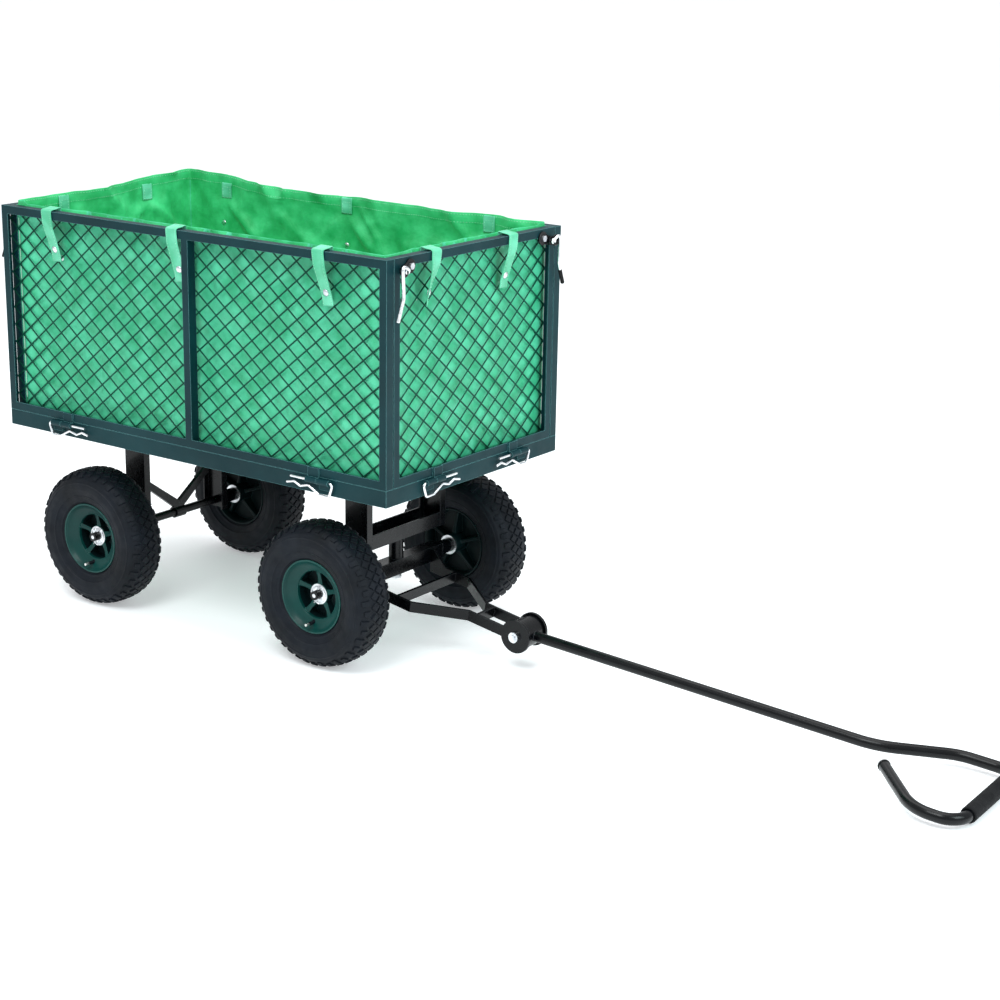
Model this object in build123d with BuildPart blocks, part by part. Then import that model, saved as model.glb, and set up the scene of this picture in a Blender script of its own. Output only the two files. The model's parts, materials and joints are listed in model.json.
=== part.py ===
from build123d import *
import math
import os

# Garden cart: a steel mesh wagon with four drop sides, a fabric liner, four pneumatic
# wheels, a kingpin front axle and a tow handle. Millimetres, +X towards the tow handle,
# +Y to the cart's left, +Z up. The origin is on the ground under the middle of the cart's
# overall length, handle included.

# ---- driving dimensions ---------------------------------------------------------------
BED_L = 906.0            # bed, outside
BED_W = 494.0
BED_BOTTOM = 324.0       # underside of the bed frame above the ground
BED_FRAME_H = 29.0
PANEL_TOP = 737.0        # top of the four sides above the ground
WHEEL_D = 260.0
WHEEL_W = 85.0
WHEEL_SPAN = 545.0       # front axle to rear axle
FRONT_AXLE = 278.0       # front axle ahead of the bed's middle
TRACK = 408.0            # between the tyres' middles
HANDLE_REACH = 1458.0    # grip's middle line ahead of the bed's middle
GRIP_R = 13.0
LATCH_REACH = 18.0       # how far a corner latch stands out from an end panel

# ---- frame and panels -----------------------------------------------------------------
ANGLE = 3.0              # bed frame angle, thickness
BED_FLANGE = 28.0        # bed frame angle, inward leg
SHEET = 2.0              # panel frame angle, thickness
FACE = 15.0              # panel frame angle, leg in the panel's face
DEPTH = 18.0             # panel frame angle, leg that points into the cart
POST_X = 7.0             # middle of the long sides' centre post from the bed's middle
SEAT_GAP = 0.5           # panel above the bed frame
END_GAP = 2.2            # end panel to side panel
MESH_T = 1.6
CELL_W = 41.0            # diamond mesh, one cell
CELL_H = 33.0
STRAND = 2.8
FLOOR_T = 2.0

# ---- panel hinges and their clip pins -------------------------------------------------
HINGE_OUT = 6.0          # hinge axis outside the bed
HINGE_Z = 347.0
KNUCKLE_R = 5.4
KNUCKLE_L = 24.0
KNUCKLE_GAP = 1.6
TAB_T = 3.0
PIN_R = 2.2
FIT = 0.06               # radial running clearance
SIDE_HINGE = 310.0       # hinge pair's middle from the panel's middle
END_HINGE = 122.0

# ---- corner latches -------------------------------------------------------------------
LATCH_BOLT_Y = 188.0
LATCH_BOLT_Z = 721.0
LATCH_EYE_Y = 206.0
LATCH_EYE_Z = 716.0
LEVER_R = 2.5
SLEEVE_L = 26.0          # vinyl sleeve on a lever's end

# ---- undercarriage --------------------------------------------------------------------
LEG_W = 50.0
LEG_D = 15.0
LEG_Y = 98.0             # inner face of a leg from the middle
AXLE_R = 8.0
HUB_IN = 158.0           # inner end of a wheel hub from the middle
HUB_OUT = 214.0
BEAM_Z = 130.0           # steering beam, middle
BEAM = 28.0
UPPER_BEAM_BOTTOM = 186.0
UPPER_BEAM_H = 26.0
KINGPIN_R = 6.0
TOW_DROP = math.radians(9.5)
TOW_ARM_Y = 86.0
TOW_EAR_Y = 26.0
TOW_BAR_H = 19.0
TOW_BAR_T = 5.0
HITCH_X = 565.0          # hitch pin ahead of the bed's middle
HITCH_Z = 63.0
HITCH_R = 30.0
HITCH_PIN_R = 5.0
TUBE_R = 9.5

# ---- liner ----------------------------------------------------------------------------
LINER_T = 2.0
LINER_GAP = 1.0
LINER_TOP = 741.0
STRAP_W = 32.0
STRAP_T = 1.6
STRAP_END_Z = 644.0
SIDE_STRAPS = (-330.0, -22.0, 312.0)
END_STRAPS = (-115.0, 103.0)

# ---- worked out -----------------------------------------------------------------------
REACH_FRONT = HANDLE_REACH + GRIP_R
REACH_REAR = BED_L / 2 + LATCH_REACH
BED_X = -(REACH_FRONT - REACH_REAR) / 2      # bed's middle in the cart's frame
BED_TOP = BED_BOTTOM + BED_FRAME_H
PANEL_BOTTOM = BED_TOP + SEAT_GAP
PANEL_H = PANEL_TOP - PANEL_BOTTOM
END_W = BED_W - 2 * (DEPTH + END_GAP)
WHEEL_R = WHEEL_D / 2
FRONT_X = BED_X + FRONT_AXLE
REAR_X = FRONT_X - WHEEL_SPAN

os.makedirs("parts", exist_ok=True)


def save(part, label):
    """Name a finished piece and write it to its STEP file."""
    part.label = label
    export_step(part, f"parts/{label}.step")


def face_plane(side):
    """Outer face of one side of the bed: local x along it, local y up, normal outwards."""
    half_l, half_w = BED_L / 2, BED_W / 2
    origin, along, outward = {
        "right": ((BED_X, -half_w, 0), (1, 0, 0), (0, -1, 0)),
        "left": ((BED_X, half_w, 0), (-1, 0, 0), (0, 1, 0)),
        "front": ((BED_X + half_l, 0, 0), (0, 1, 0), (1, 0, 0)),
        "rear": ((BED_X - half_l, 0, 0), (0, -1, 0), (-1, 0, 0)),
    }[side]
    return Plane(origin=origin, x_dir=along, z_dir=outward)


SIDES = ("right", "left", "front", "rear")
PANEL_W = {"right": BED_L, "left": BED_L, "front": END_W, "rear": END_W}
HINGE_AT = {"right": SIDE_HINGE, "left": SIDE_HINGE, "front": END_HINGE, "rear": END_HINGE}


def hinge_spots(side, on_panel):
    """Middles, along the face, of the knuckles that one half of the hinges carries."""
    step = (KNUCKLE_L + KNUCKLE_GAP) / 2
    inner = -step if on_panel else step
    return [sign * (HINGE_AT[side] + inner) for sign in (-1, 1)]


def knuckles(face, spots, tab_low, tab_high):
    """Hinge knuckles with the tabs that weld them to the face of a frame."""
    with BuildPart() as row:
        for spot in spots:
            with BuildSketch(face):
                with Locations((spot, (tab_low + tab_high) / 2)):
                    Rectangle(KNUCKLE_L, tab_high - tab_low)
            extrude(amount=TAB_T)
            end_plane = face * Plane.YZ.offset(spot - KNUCKLE_L / 2)
            with BuildSketch(end_plane):
                with Locations((HINGE_Z, HINGE_OUT)):
                    Circle(KNUCKLE_R)
            extrude(amount=KNUCKLE_L)
            with BuildSketch(end_plane):
                with Locations((HINGE_Z, HINGE_OUT)):
                    Circle(PIN_R + FIT)
            extrude(amount=KNUCKLE_L, mode=Mode.SUBTRACT)
    return row.part


# ---- bed ------------------------------------------------------------------------------
with BuildPart() as bed_frame:
    with BuildSketch(Plane.XY.offset(BED_BOTTOM)):
        with Locations((BED_X, 0)):
            Rectangle(BED_L, BED_W)
            Rectangle(BED_L - 2 * ANGLE, BED_W - 2 * ANGLE, mode=Mode.SUBTRACT)
    extrude(amount=BED_FRAME_H)
    with BuildSketch(Plane.XY.offset(BED_TOP - ANGLE)):
        with Locations((BED_X, 0)):
            Rectangle(BED_L, BED_W)
            Rectangle(BED_L - 2 * BED_FLANGE, BED_W - 2 * BED_FLANGE, mode=Mode.SUBTRACT)
    extrude(amount=ANGLE)
    for side in SIDES:
        add(knuckles(face_plane(side), hinge_spots(side, False), HINGE_Z - FACE, HINGE_Z))
save(bed_frame.part, "bed_frame")

CROSS_H = BED_FRAME_H - 2 * ANGLE
with BuildPart() as bed_cross_members:
    with BuildSketch(Plane.XY.offset(BED_TOP - ANGLE)):
        with Locations((REAR_X, 0), (BED_X, 0), (FRONT_X, 0)):
            Rectangle(LEG_W, BED_W - 2 * ANGLE)
    extrude(amount=-CROSS_H)
    with BuildSketch(Plane.XY.offset(BED_TOP - ANGLE - CROSS_H)):
        with Locations((REAR_X, 0), (BED_X, 0), (FRONT_X, 0)):
            Rectangle(LEG_W - 2 * ANGLE, BED_W - 2 * ANGLE)
    extrude(amount=CROSS_H - ANGLE, mode=Mode.SUBTRACT)
save(bed_cross_members.part, "bed_cross_members")


def diamond_mesh(plane, middle, size, thickness):
    """Welded diamond mesh: two layers of flat strands that lean opposite ways."""
    lean = math.degrees(math.atan2(CELL_H, CELL_W))
    pitch = CELL_W * math.sin(math.radians(lean))
    reach = math.hypot(*size)
    count = 2 * math.floor(reach / 2 / pitch) + 1
    strands = []
    for layer, angle in ((0, lean), (1, -lean)):
        with BuildPart() as strand_layer:
            with BuildSketch(plane.offset(layer * thickness / 2)):
                with Locations(Location((*middle, 0), (0, 0, angle))):
                    with GridLocations(0, pitch, 1, count):
                        Rectangle(2 * reach, STRAND)
                with Locations(middle):
                    Rectangle(*size, mode=Mode.INTERSECT)
            extrude(amount=thickness / 2)
        strands += strand_layer.solids()
    return Compound(strands)


FLOOR_L = BED_L - 2 * (DEPTH + MESH_T + LINER_GAP)
FLOOR_W = BED_W - 2 * (DEPTH + MESH_T + LINER_GAP)
save(
    diamond_mesh(Plane.XY.offset(BED_TOP), (BED_X, 0), (FLOOR_L, FLOOR_W), FLOOR_T),
    "bed_floor_mesh",
)

# ---- four drop sides ------------------------------------------------------------------
for side in SIDES:
    face = face_plane(side)
    width = PANEL_W[side]
    middle = (0, PANEL_BOTTOM + PANEL_H / 2)
    with BuildPart() as panel_frame:
        with BuildSketch(face):
            with Locations(middle):
                Rectangle(width, PANEL_H)
                Rectangle(width - 2 * FACE, PANEL_H - 2 * FACE, mode=Mode.SUBTRACT)
            if width == BED_L:
                with Locations((POST_X if side == "right" else -POST_X, middle[1])):
                    Rectangle(FACE, PANEL_H)
        extrude(amount=-SHEET)
        with BuildSketch(face):
            with Locations(middle):
                Rectangle(width, PANEL_H)
                Rectangle(width - 2 * SHEET, PANEL_H - 2 * SHEET, mode=Mode.SUBTRACT)
            if width == BED_L:
                post_leg = POST_X + FACE / 2 - SHEET / 2
                with Locations((post_leg if side == "right" else -post_leg, middle[1])):
                    Rectangle(SHEET, PANEL_H)
        extrude(amount=-DEPTH)
        add(knuckles(face, hinge_spots(side, True), HINGE_Z, PANEL_BOTTOM + FACE))
    save(panel_frame.part, f"{side}_panel_frame")
    sheet_size = (width - SHEET, PANEL_H - SHEET)
    mesh_plane = face.offset(-DEPTH - MESH_T)
    save(diamond_mesh(mesh_plane, middle, sheet_size, MESH_T), f"{side}_panel_mesh")

# ---- clip pins through the hinges -----------------------------------------------------
CLIP_TIP = 60.0          # straight leg's tip inboard of the hinge pair's middle
CLIP_LOOP = 33.5         # loop outboard of the hinge pair's middle
CLIP_BEND_R = 5.0
# The sprung leg goes back from the loop: distance from the loop, drop below the hinge.
CLIP_WAVES = ((0, 0), (9, 24), (30, 23), (54, 10), (72, 14.5), (86, 8.5), (102, 12))
for side in SIDES:
    face = face_plane(side)
    clip_plane = face.offset(HINGE_OUT)
    for end, sign in (("a", -1), ("b", 1)):
        at = HINGE_AT[side]
        route = [(sign * (at - CLIP_TIP), HINGE_Z)] + [
            (sign * (at + CLIP_LOOP - back), HINGE_Z - drop) for back, drop in CLIP_WAVES
        ]
        with BuildPart() as clip:
            with BuildLine(clip_plane) as clip_path:
                FilletPolyline(*route, radius=CLIP_BEND_R)
            with BuildSketch(clip_path.line ^ 0):
                Circle(PIN_R)
            sweep()
        save(clip.part, f"{side}_clip_{end}")

# ---- corner latches on the two end panels ---------------------------------------------
LATCH_PLATE_T = 3.0
LATCH_DISC_R = 12.0
LATCH_EYE_R = 8.0
LATCH_EYE_L = 6.0
LATCH_BOLT_R = 3.0
LATCH_HEAD_R = 6.0
LATCH_HEAD_H = 4.0
LEVER_OUT = LATCH_REACH - LEVER_R - 1
LEVER_BEND_R = 5.0
# The lever beyond its eye: distance outboard of the eye, height above it.
LEVER_BENDS = ((0, 0), (17, 9), (15, -42), (29, -78))
for side in ("front", "rear"):
    face = face_plane(side)
    with BuildPart() as latch_brackets:
        for sign in (-1, 1):
            with BuildSketch(face):
                with Locations((sign * LATCH_BOLT_Y, LATCH_BOLT_Z)):
                    Circle(LATCH_DISC_R)
                with Locations((sign * LATCH_EYE_Y, LATCH_EYE_Z)):
                    Circle(LATCH_EYE_R)
                with BuildLine():
                    Polyline(
                        (sign * LATCH_BOLT_Y, LATCH_BOLT_Z + LATCH_DISC_R - 1),
                        (sign * LATCH_EYE_Y, LATCH_EYE_Z + LATCH_EYE_R - 0.5),
                        (sign * LATCH_EYE_Y, LATCH_EYE_Z - LATCH_EYE_R + 0.5),
                        (sign * LATCH_BOLT_Y, LATCH_BOLT_Z - LATCH_DISC_R + 1),
                        close=True,
                    )
                make_face()
                with Locations((sign * LATCH_BOLT_Y, LATCH_BOLT_Z)):
                    Circle(LATCH_BOLT_R + FIT, mode=Mode.SUBTRACT)
                with Locations((sign * LATCH_EYE_Y, LATCH_EYE_Z)):
                    Circle(LEVER_R + FIT, mode=Mode.SUBTRACT)
            extrude(amount=LATCH_PLATE_T)
            with BuildSketch(face.offset(LATCH_PLATE_T)):
                with Locations((sign * LATCH_EYE_Y, LATCH_EYE_Z)):
                    Circle(LATCH_EYE_R)
                    Circle(LEVER_R + FIT, mode=Mode.SUBTRACT)
            extrude(amount=LATCH_EYE_L)
    save(latch_brackets.part, f"{side}_latch_brackets")

    with BuildPart() as latch_bolts:
        for sign in (-1, 1):
            with BuildSketch(face):
                with Locations((sign * LATCH_BOLT_Y, LATCH_BOLT_Z)):
                    Circle(LATCH_BOLT_R)
            extrude(amount=LATCH_PLATE_T)
            with BuildSketch(face.offset(LATCH_PLATE_T)):
                with Locations((sign * LATCH_BOLT_Y, LATCH_BOLT_Z)):
                    RegularPolygon(LATCH_HEAD_R, 6)
            extrude(amount=LATCH_HEAD_H)
    save(latch_bolts.part, f"{side}_latch_bolts")

    for end, sign in (("a", -1), ("b", 1)):
        lever_points = [(sign * LATCH_EYE_Y, LATCH_EYE_Z, 0.6)] + [
            (sign * (LATCH_EYE_Y + out), LATCH_EYE_Z + up, LEVER_OUT) for out, up in LEVER_BENDS
        ]
        with BuildPart() as lever:
            with BuildLine(face) as lever_path:
                FilletPolyline(*lever_points, radius=LEVER_BEND_R)
            with BuildSketch(lever_path.line ^ 0):
                Circle(LEVER_R)
            sweep()
            with BuildSketch(lever_path.line ^ 1):
                Circle(LEVER_R + 1)
            extrude(amount=-SLEEVE_L)
        save(lever.part, f"{side}_latch_lever_{end}")

# ---- liner, its straps and press studs ------------------------------------------------
LINER_L = BED_L - 2 * (DEPTH + MESH_T + LINER_GAP)
LINER_W = BED_W - 2 * (DEPTH + MESH_T + LINER_GAP)
LINER_BOTTOM = BED_TOP + FLOOR_T + LINER_GAP
with BuildPart() as liner:
    with BuildSketch(Plane.XY.offset(LINER_BOTTOM)):
        with Locations((BED_X, 0)):
            Rectangle(LINER_L, LINER_W)
    extrude(amount=LINER_TOP - LINER_BOTTOM)
    offset(amount=-LINER_T, openings=liner.faces().sort_by(Axis.Z)[-1])
save(liner.part, "liner")

STRAP_SPOTS = (
    [("right", x) for x in SIDE_STRAPS]
    + [("left", -x) for x in SIDE_STRAPS]
    + [("front", y) for y in END_STRAPS]
    + [("rear", -y) for y in END_STRAPS]
)
STUD_Z = STRAP_END_Z + 14
STRAP_FOOT = -DEPTH + SHEET + STRAP_T / 2
STRAP_GAP = 0.3
STRAP_INNER_L = 30.0     # sewn leg inside the liner
STUD_R = 6.5
STUD_H = 2.5
with BuildPart() as liner_straps:
    for side, along in STRAP_SPOTS:
        face = face_plane(side)
        inner = -(DEPTH + MESH_T + LINER_GAP + LINER_T) - STRAP_T / 2 - STRAP_GAP
        outer = STRAP_T / 2 + 1
        top = LINER_TOP + STRAP_T / 2 + STRAP_GAP
        section = face * Plane.YZ.offset(along - STRAP_W / 2)
        with BuildSketch(section):
            with BuildLine():
                Polyline(
                    (LINER_TOP - STRAP_INNER_L, inner),
                    (top, inner),
                    (top, outer),
                    (PANEL_TOP - FACE - 3, outer),
                    (STUD_Z + 10, STRAP_FOOT),
                    (STRAP_END_Z, STRAP_FOOT),
                )
            trace(line_width=STRAP_T)
        extrude(amount=STRAP_W)
save(liner_straps.part, "liner_straps")

with BuildPart() as strap_studs:
    for side, along in STRAP_SPOTS:
        with BuildSketch(face_plane(side).offset(STRAP_FOOT + STRAP_T / 2)):
            with Locations((along, STUD_Z)):
                Circle(STUD_R)
        extrude(amount=STUD_H)
save(strap_studs.part, "strap_studs")

# ---- wheels ---------------------------------------------------------------------------
RIM_R = 66.5
WELL_R = RIM_R - 3.5     # outside of the rim's well
DISH_R = RIM_R - 6.5     # inside of the rim
FLANGE = 32.0            # rim flange from the wheel's middle
WEB_OUT = -6.0           # web's outer face from the wheel's middle
WEB_T = 3.0
RIB_W = 7.0
RIB_H = 9.0
VALVE_AT = 48.0
VALVE_R = 4.0
VALVE_L = 26.0
HUB_R = 19.0
BEARING_R = 16.0
BEARING_L = 10.0
HUB_INNER = HUB_IN - TRACK / 2
HUB_OUTER = HUB_OUT - TRACK / 2
BEAD = 67.0
WHEEL_SPOTS = {
    "front_right": (FRONT_X, -1),
    "front_left": (FRONT_X, 1),
    "rear_right": (REAR_X, -1),
    "rear_left": (REAR_X, 1),
}
for name, (axle_x, hand) in WHEEL_SPOTS.items():
    centre = (axle_x, hand * TRACK / 2, WHEEL_R)
    profile = Plane(origin=centre, x_dir=(1, 0, 0), z_dir=(0, 0, hand))
    spin = Axis(centre, (0, 1, 0))
    with BuildPart() as tyre:
        with BuildSketch(profile):
            with BuildLine():
                ThreePointArc((BEAD, 31), (95, WHEEL_W / 2), (119, 36))
                ThreePointArc((119, 36), (126, 28), (129, 17))
                ThreePointArc((129, 17), (WHEEL_R, 0), (129, -17))
                ThreePointArc((129, -17), (126, -28), (119, -36))
                ThreePointArc((119, -36), (95, -WHEEL_W / 2), (BEAD, -31))
                Line((BEAD, -31), (BEAD, -22))
                ThreePointArc((BEAD, -22), (94, -35), (119, -15))
                ThreePointArc((119, -15), (121, 0), (119, 15))
                ThreePointArc((119, 15), (94, 35), (BEAD, 22))
                Line((BEAD, 22), (BEAD, 31))
            make_face()
        revolve(axis=spin)
    save(tyre.part, f"{name}_tyre")

    with BuildPart() as rim:
        with BuildSketch(profile):
            with BuildLine():
                Polyline(
                    (HUB_R, HUB_INNER), (HUB_R, WEB_OUT - WEB_T),
                    (DISH_R, WEB_OUT - WEB_T), (DISH_R, 4 - FLANGE),
                    (WELL_R, -FLANGE), (RIM_R, -FLANGE), (RIM_R, 3 - FLANGE), (WELL_R, 6 - FLANGE),
                    (WELL_R, FLANGE - 6), (RIM_R, FLANGE - 3), (RIM_R, FLANGE), (WELL_R, FLANGE),
                    (DISH_R, FLANGE - 4), (DISH_R, WEB_OUT), (HUB_R, WEB_OUT), (HUB_R, HUB_OUTER),
                    (BEARING_R, HUB_OUTER), (BEARING_R, HUB_OUTER - BEARING_L),
                    (BEARING_R - 3, HUB_OUTER - BEARING_L), (BEARING_R - 3, HUB_INNER + BEARING_L),
                    (BEARING_R, HUB_INNER + BEARING_L), (BEARING_R, HUB_INNER),
                    close=True,
                )
            make_face()
        revolve(axis=spin)
        outer_face = Plane(origin=centre, x_dir=(1, 0, 0), z_dir=(0, hand, 0))
        with BuildSketch(outer_face.offset(WEB_OUT)):
            with PolarLocations((HUB_R + DISH_R) / 2, 5, start_angle=90):
                Rectangle(DISH_R - HUB_R + 1, RIB_W)
        extrude(amount=RIB_H)
        with BuildSketch(outer_face.offset(WEB_OUT)):
            with PolarLocations(VALVE_AT, 1, start_angle=235):
                Circle(VALVE_R)
        extrude(amount=VALVE_L)
    save(rim.part, f"{name}_rim")

    with BuildPart() as bearings:
        for start in (HUB_INNER, HUB_OUTER - BEARING_L):
            with BuildSketch(outer_face.offset(start)):
                Circle(BEARING_R - 0.02)
                Circle(AXLE_R + FIT, mode=Mode.SUBTRACT)
            extrude(amount=BEARING_L)
    save(bearings.part, f"{name}_bearings")

# ---- axle ends: washer and split pin on each side -------------------------------------
AXLE_END = HUB_OUT + 14
SPLIT_R = 1.6
for name, axle_x in (("front", FRONT_X), ("rear", REAR_X)):
    with BuildPart() as axle_fasteners:
        for hand in (-1, 1):
            end_plane = Plane(origin=(axle_x, 0, WHEEL_R), x_dir=(1, 0, 0), z_dir=(0, hand, 0))
            with BuildSketch(end_plane.offset(HUB_OUT + 0.3)):
                Circle(15)
                Circle(AXLE_R + FIT, mode=Mode.SUBTRACT)
            extrude(amount=2)
            with Locations((axle_x, hand * (AXLE_END - 6), WHEEL_R)):
                Cylinder(SPLIT_R, 2 * AXLE_R + 14)
    save(axle_fasteners.part, f"{name}_axle_fasteners")

# ---- rear undercarriage ---------------------------------------------------------------
with BuildPart() as rear_legs:
    with BuildSketch(Plane.XY.offset(WHEEL_R - 15)):
        for hand in (-1, 1):
            with Locations((REAR_X, hand * (LEG_Y + LEG_D / 2))):
                Rectangle(LEG_W, LEG_D)
            with Locations((REAR_X, hand * (LEG_Y + LEG_D / 2 - ANGLE))):
                Rectangle(LEG_W - 2 * ANGLE, LEG_D, mode=Mode.SUBTRACT)
    extrude(amount=BED_TOP - ANGLE - CROSS_H - WHEEL_R + 15)
    with BuildSketch(Plane(origin=(REAR_X, 0, WHEEL_R), x_dir=(1, 0, 0), z_dir=(0, 1, 0))):
        Circle(AXLE_R + FIT)
    extrude(amount=BED_W / 2, both=True, mode=Mode.SUBTRACT)
save(rear_legs.part, "rear_legs")

BRACE_W = 11.0           # brace seen from the front, across its slope
BRACE_T = 8.0
BRACE_TOP = 220.0
BRACE_FOOT = WHEEL_R + AXLE_R + 3
COLLAR_R = AXLE_R + 3
COLLAR_L = 26.0
with BuildPart() as rear_braces:
    with BuildSketch(Plane.YZ.offset(REAR_X - BRACE_T / 2)):
        for hand in (-1, 1):
            with BuildLine():
                Polyline(
                    (hand * LEG_Y, BRACE_TOP), (hand * LEG_Y, BRACE_TOP - 1.4 * BRACE_W),
                    (hand * BRACE_W, BRACE_FOOT - 2), (0, BRACE_FOOT - 2), (0, BRACE_FOOT + BRACE_W),
                    close=True,
                )
            make_face()
    extrude(amount=BRACE_T)
    with BuildSketch(Plane(origin=(REAR_X, 0, WHEEL_R), x_dir=(1, 0, 0), z_dir=(0, 1, 0))):
        Circle(COLLAR_R)
        Circle(AXLE_R + FIT, mode=Mode.SUBTRACT)
    extrude(amount=COLLAR_L / 2, both=True)
save(rear_braces.part, "rear_braces")

with BuildPart() as rear_axle:
    rear_axis = Plane(origin=(REAR_X, 0, WHEEL_R), x_dir=(1, 0, 0), z_dir=(0, 1, 0))
    with BuildSketch(rear_axis):
        Circle(AXLE_R)
    extrude(amount=AXLE_END, both=True)
    with BuildSketch(Plane.XY.offset(WHEEL_R)):
        with Locations((REAR_X, -AXLE_END + 6), (REAR_X, AXLE_END - 6)):
            Circle(SPLIT_R + 0.03)
    extrude(amount=AXLE_R + 1, both=True, mode=Mode.SUBTRACT)
    for hand in (-1, 1):
        with BuildSketch(rear_axis.offset(hand * (LEG_Y + LEG_D))):
            Circle(AXLE_R + 5)
        extrude(amount=hand * (HUB_IN - LEG_Y - LEG_D - 0.4))
save(rear_axle.part, "rear_axle")

# ---- front undercarriage, fixed part --------------------------------------------------
with BuildPart() as front_legs:
    with BuildSketch(Plane.XY.offset(UPPER_BEAM_BOTTOM)):
        for hand in (-1, 1):
            with Locations((FRONT_X, hand * (LEG_Y + LEG_D / 2))):
                Rectangle(LEG_W, LEG_D)
            with Locations((FRONT_X, hand * (LEG_Y + LEG_D / 2 - ANGLE))):
                Rectangle(LEG_W - 2 * ANGLE, LEG_D, mode=Mode.SUBTRACT)
    extrude(amount=BED_TOP - ANGLE - CROSS_H - UPPER_BEAM_BOTTOM)
save(front_legs.part, "front_legs")

with BuildPart() as upper_beam:
    with BuildSketch(Plane.XY.offset(UPPER_BEAM_BOTTOM)):
        with Locations((FRONT_X, 0)):
            Rectangle(LEG_W, 2 * LEG_Y)
    extrude(amount=UPPER_BEAM_H)
    with BuildSketch(Plane.XY.offset(UPPER_BEAM_BOTTOM + ANGLE)):
        with Locations((FRONT_X, 0)):
            Rectangle(LEG_W - 2 * ANGLE, 2 * LEG_Y)
    extrude(amount=UPPER_BEAM_H, mode=Mode.SUBTRACT)
    with BuildSketch(Plane.XY.offset(UPPER_BEAM_BOTTOM)):
        with Locations((FRONT_X, 0)):
            Circle(KINGPIN_R + FIT)
    extrude(amount=ANGLE, mode=Mode.SUBTRACT)
save(upper_beam.part, "upper_beam")

BEAM_TOP = BEAM_Z + BEAM / 2
BEAM_BOTTOM = BEAM_Z - BEAM / 2
with BuildPart() as kingpin_bolt:
    with BuildSketch(Plane.XY.offset(BEAM_BOTTOM - 10)):
        with Locations((FRONT_X, 0)):
            Circle(KINGPIN_R)
    extrude(amount=UPPER_BEAM_BOTTOM + ANGLE - BEAM_BOTTOM + 10)
    with BuildSketch(Plane.XY.offset(UPPER_BEAM_BOTTOM + ANGLE)):
        with Locations((FRONT_X, 0)):
            RegularPolygon(10.5, 6)
    extrude(amount=8)
    with BuildSketch(Plane.XY.offset(BEAM_BOTTOM - 0.5)):
        with Locations((FRONT_X, 0)):
            RegularPolygon(10.5, 6)
    extrude(amount=-9)
save(kingpin_bolt.part, "kingpin_bolt")

# ---- front undercarriage, steered part ------------------------------------------------
BEAM_HALF = 120.0
with BuildPart() as steering_beam:
    across = Plane(origin=(FRONT_X, 0, BEAM_Z), x_dir=(1, 0, 0), z_dir=(0, 1, 0))
    with BuildSketch(across):
        Rectangle(BEAM, BEAM)
        Rectangle(BEAM - 2 * ANGLE, BEAM - 2 * ANGLE, mode=Mode.SUBTRACT)
    extrude(amount=BEAM_HALF, both=True)
    with BuildSketch(Plane.XY.offset(BEAM_BOTTOM)):
        with Locations((FRONT_X, 0)):
            Circle(13.5)
    extrude(amount=UPPER_BEAM_BOTTOM - 0.5 - BEAM_BOTTOM)
    with BuildSketch(Plane.XY.offset(BEAM_BOTTOM)):
        with Locations((FRONT_X, 0)):
            Circle(KINGPIN_R + FIT)
    extrude(amount=UPPER_BEAM_BOTTOM - BEAM_BOTTOM, mode=Mode.SUBTRACT)
save(steering_beam.part, "steering_beam")

with BuildPart() as front_stub_axles:
    for hand in (-1, 1):
        stub = Plane(origin=(FRONT_X, 0, WHEEL_R), x_dir=(1, 0, 0), z_dir=(0, hand, 0))
        with BuildSketch(stub.offset(60)):
            Circle(AXLE_R)
        extrude(amount=AXLE_END - 60)
        with BuildSketch(stub.offset(BEAM_HALF)):
            Rectangle(BEAM, BEAM)
        extrude(amount=4)
        with BuildSketch(stub.offset(BEAM_HALF + 4)):
            Circle(AXLE_R + 5)
        extrude(amount=HUB_IN - BEAM_HALF - 4.4)
    with BuildSketch(Plane.XY.offset(WHEEL_R)):
        with Locations((FRONT_X, -AXLE_END + 6), (FRONT_X, AXLE_END - 6)):
            Circle(SPLIT_R + 0.03)
    extrude(amount=AXLE_R + 1, both=True, mode=Mode.SUBTRACT)
save(front_stub_axles.part, "front_stub_axles")

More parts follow.
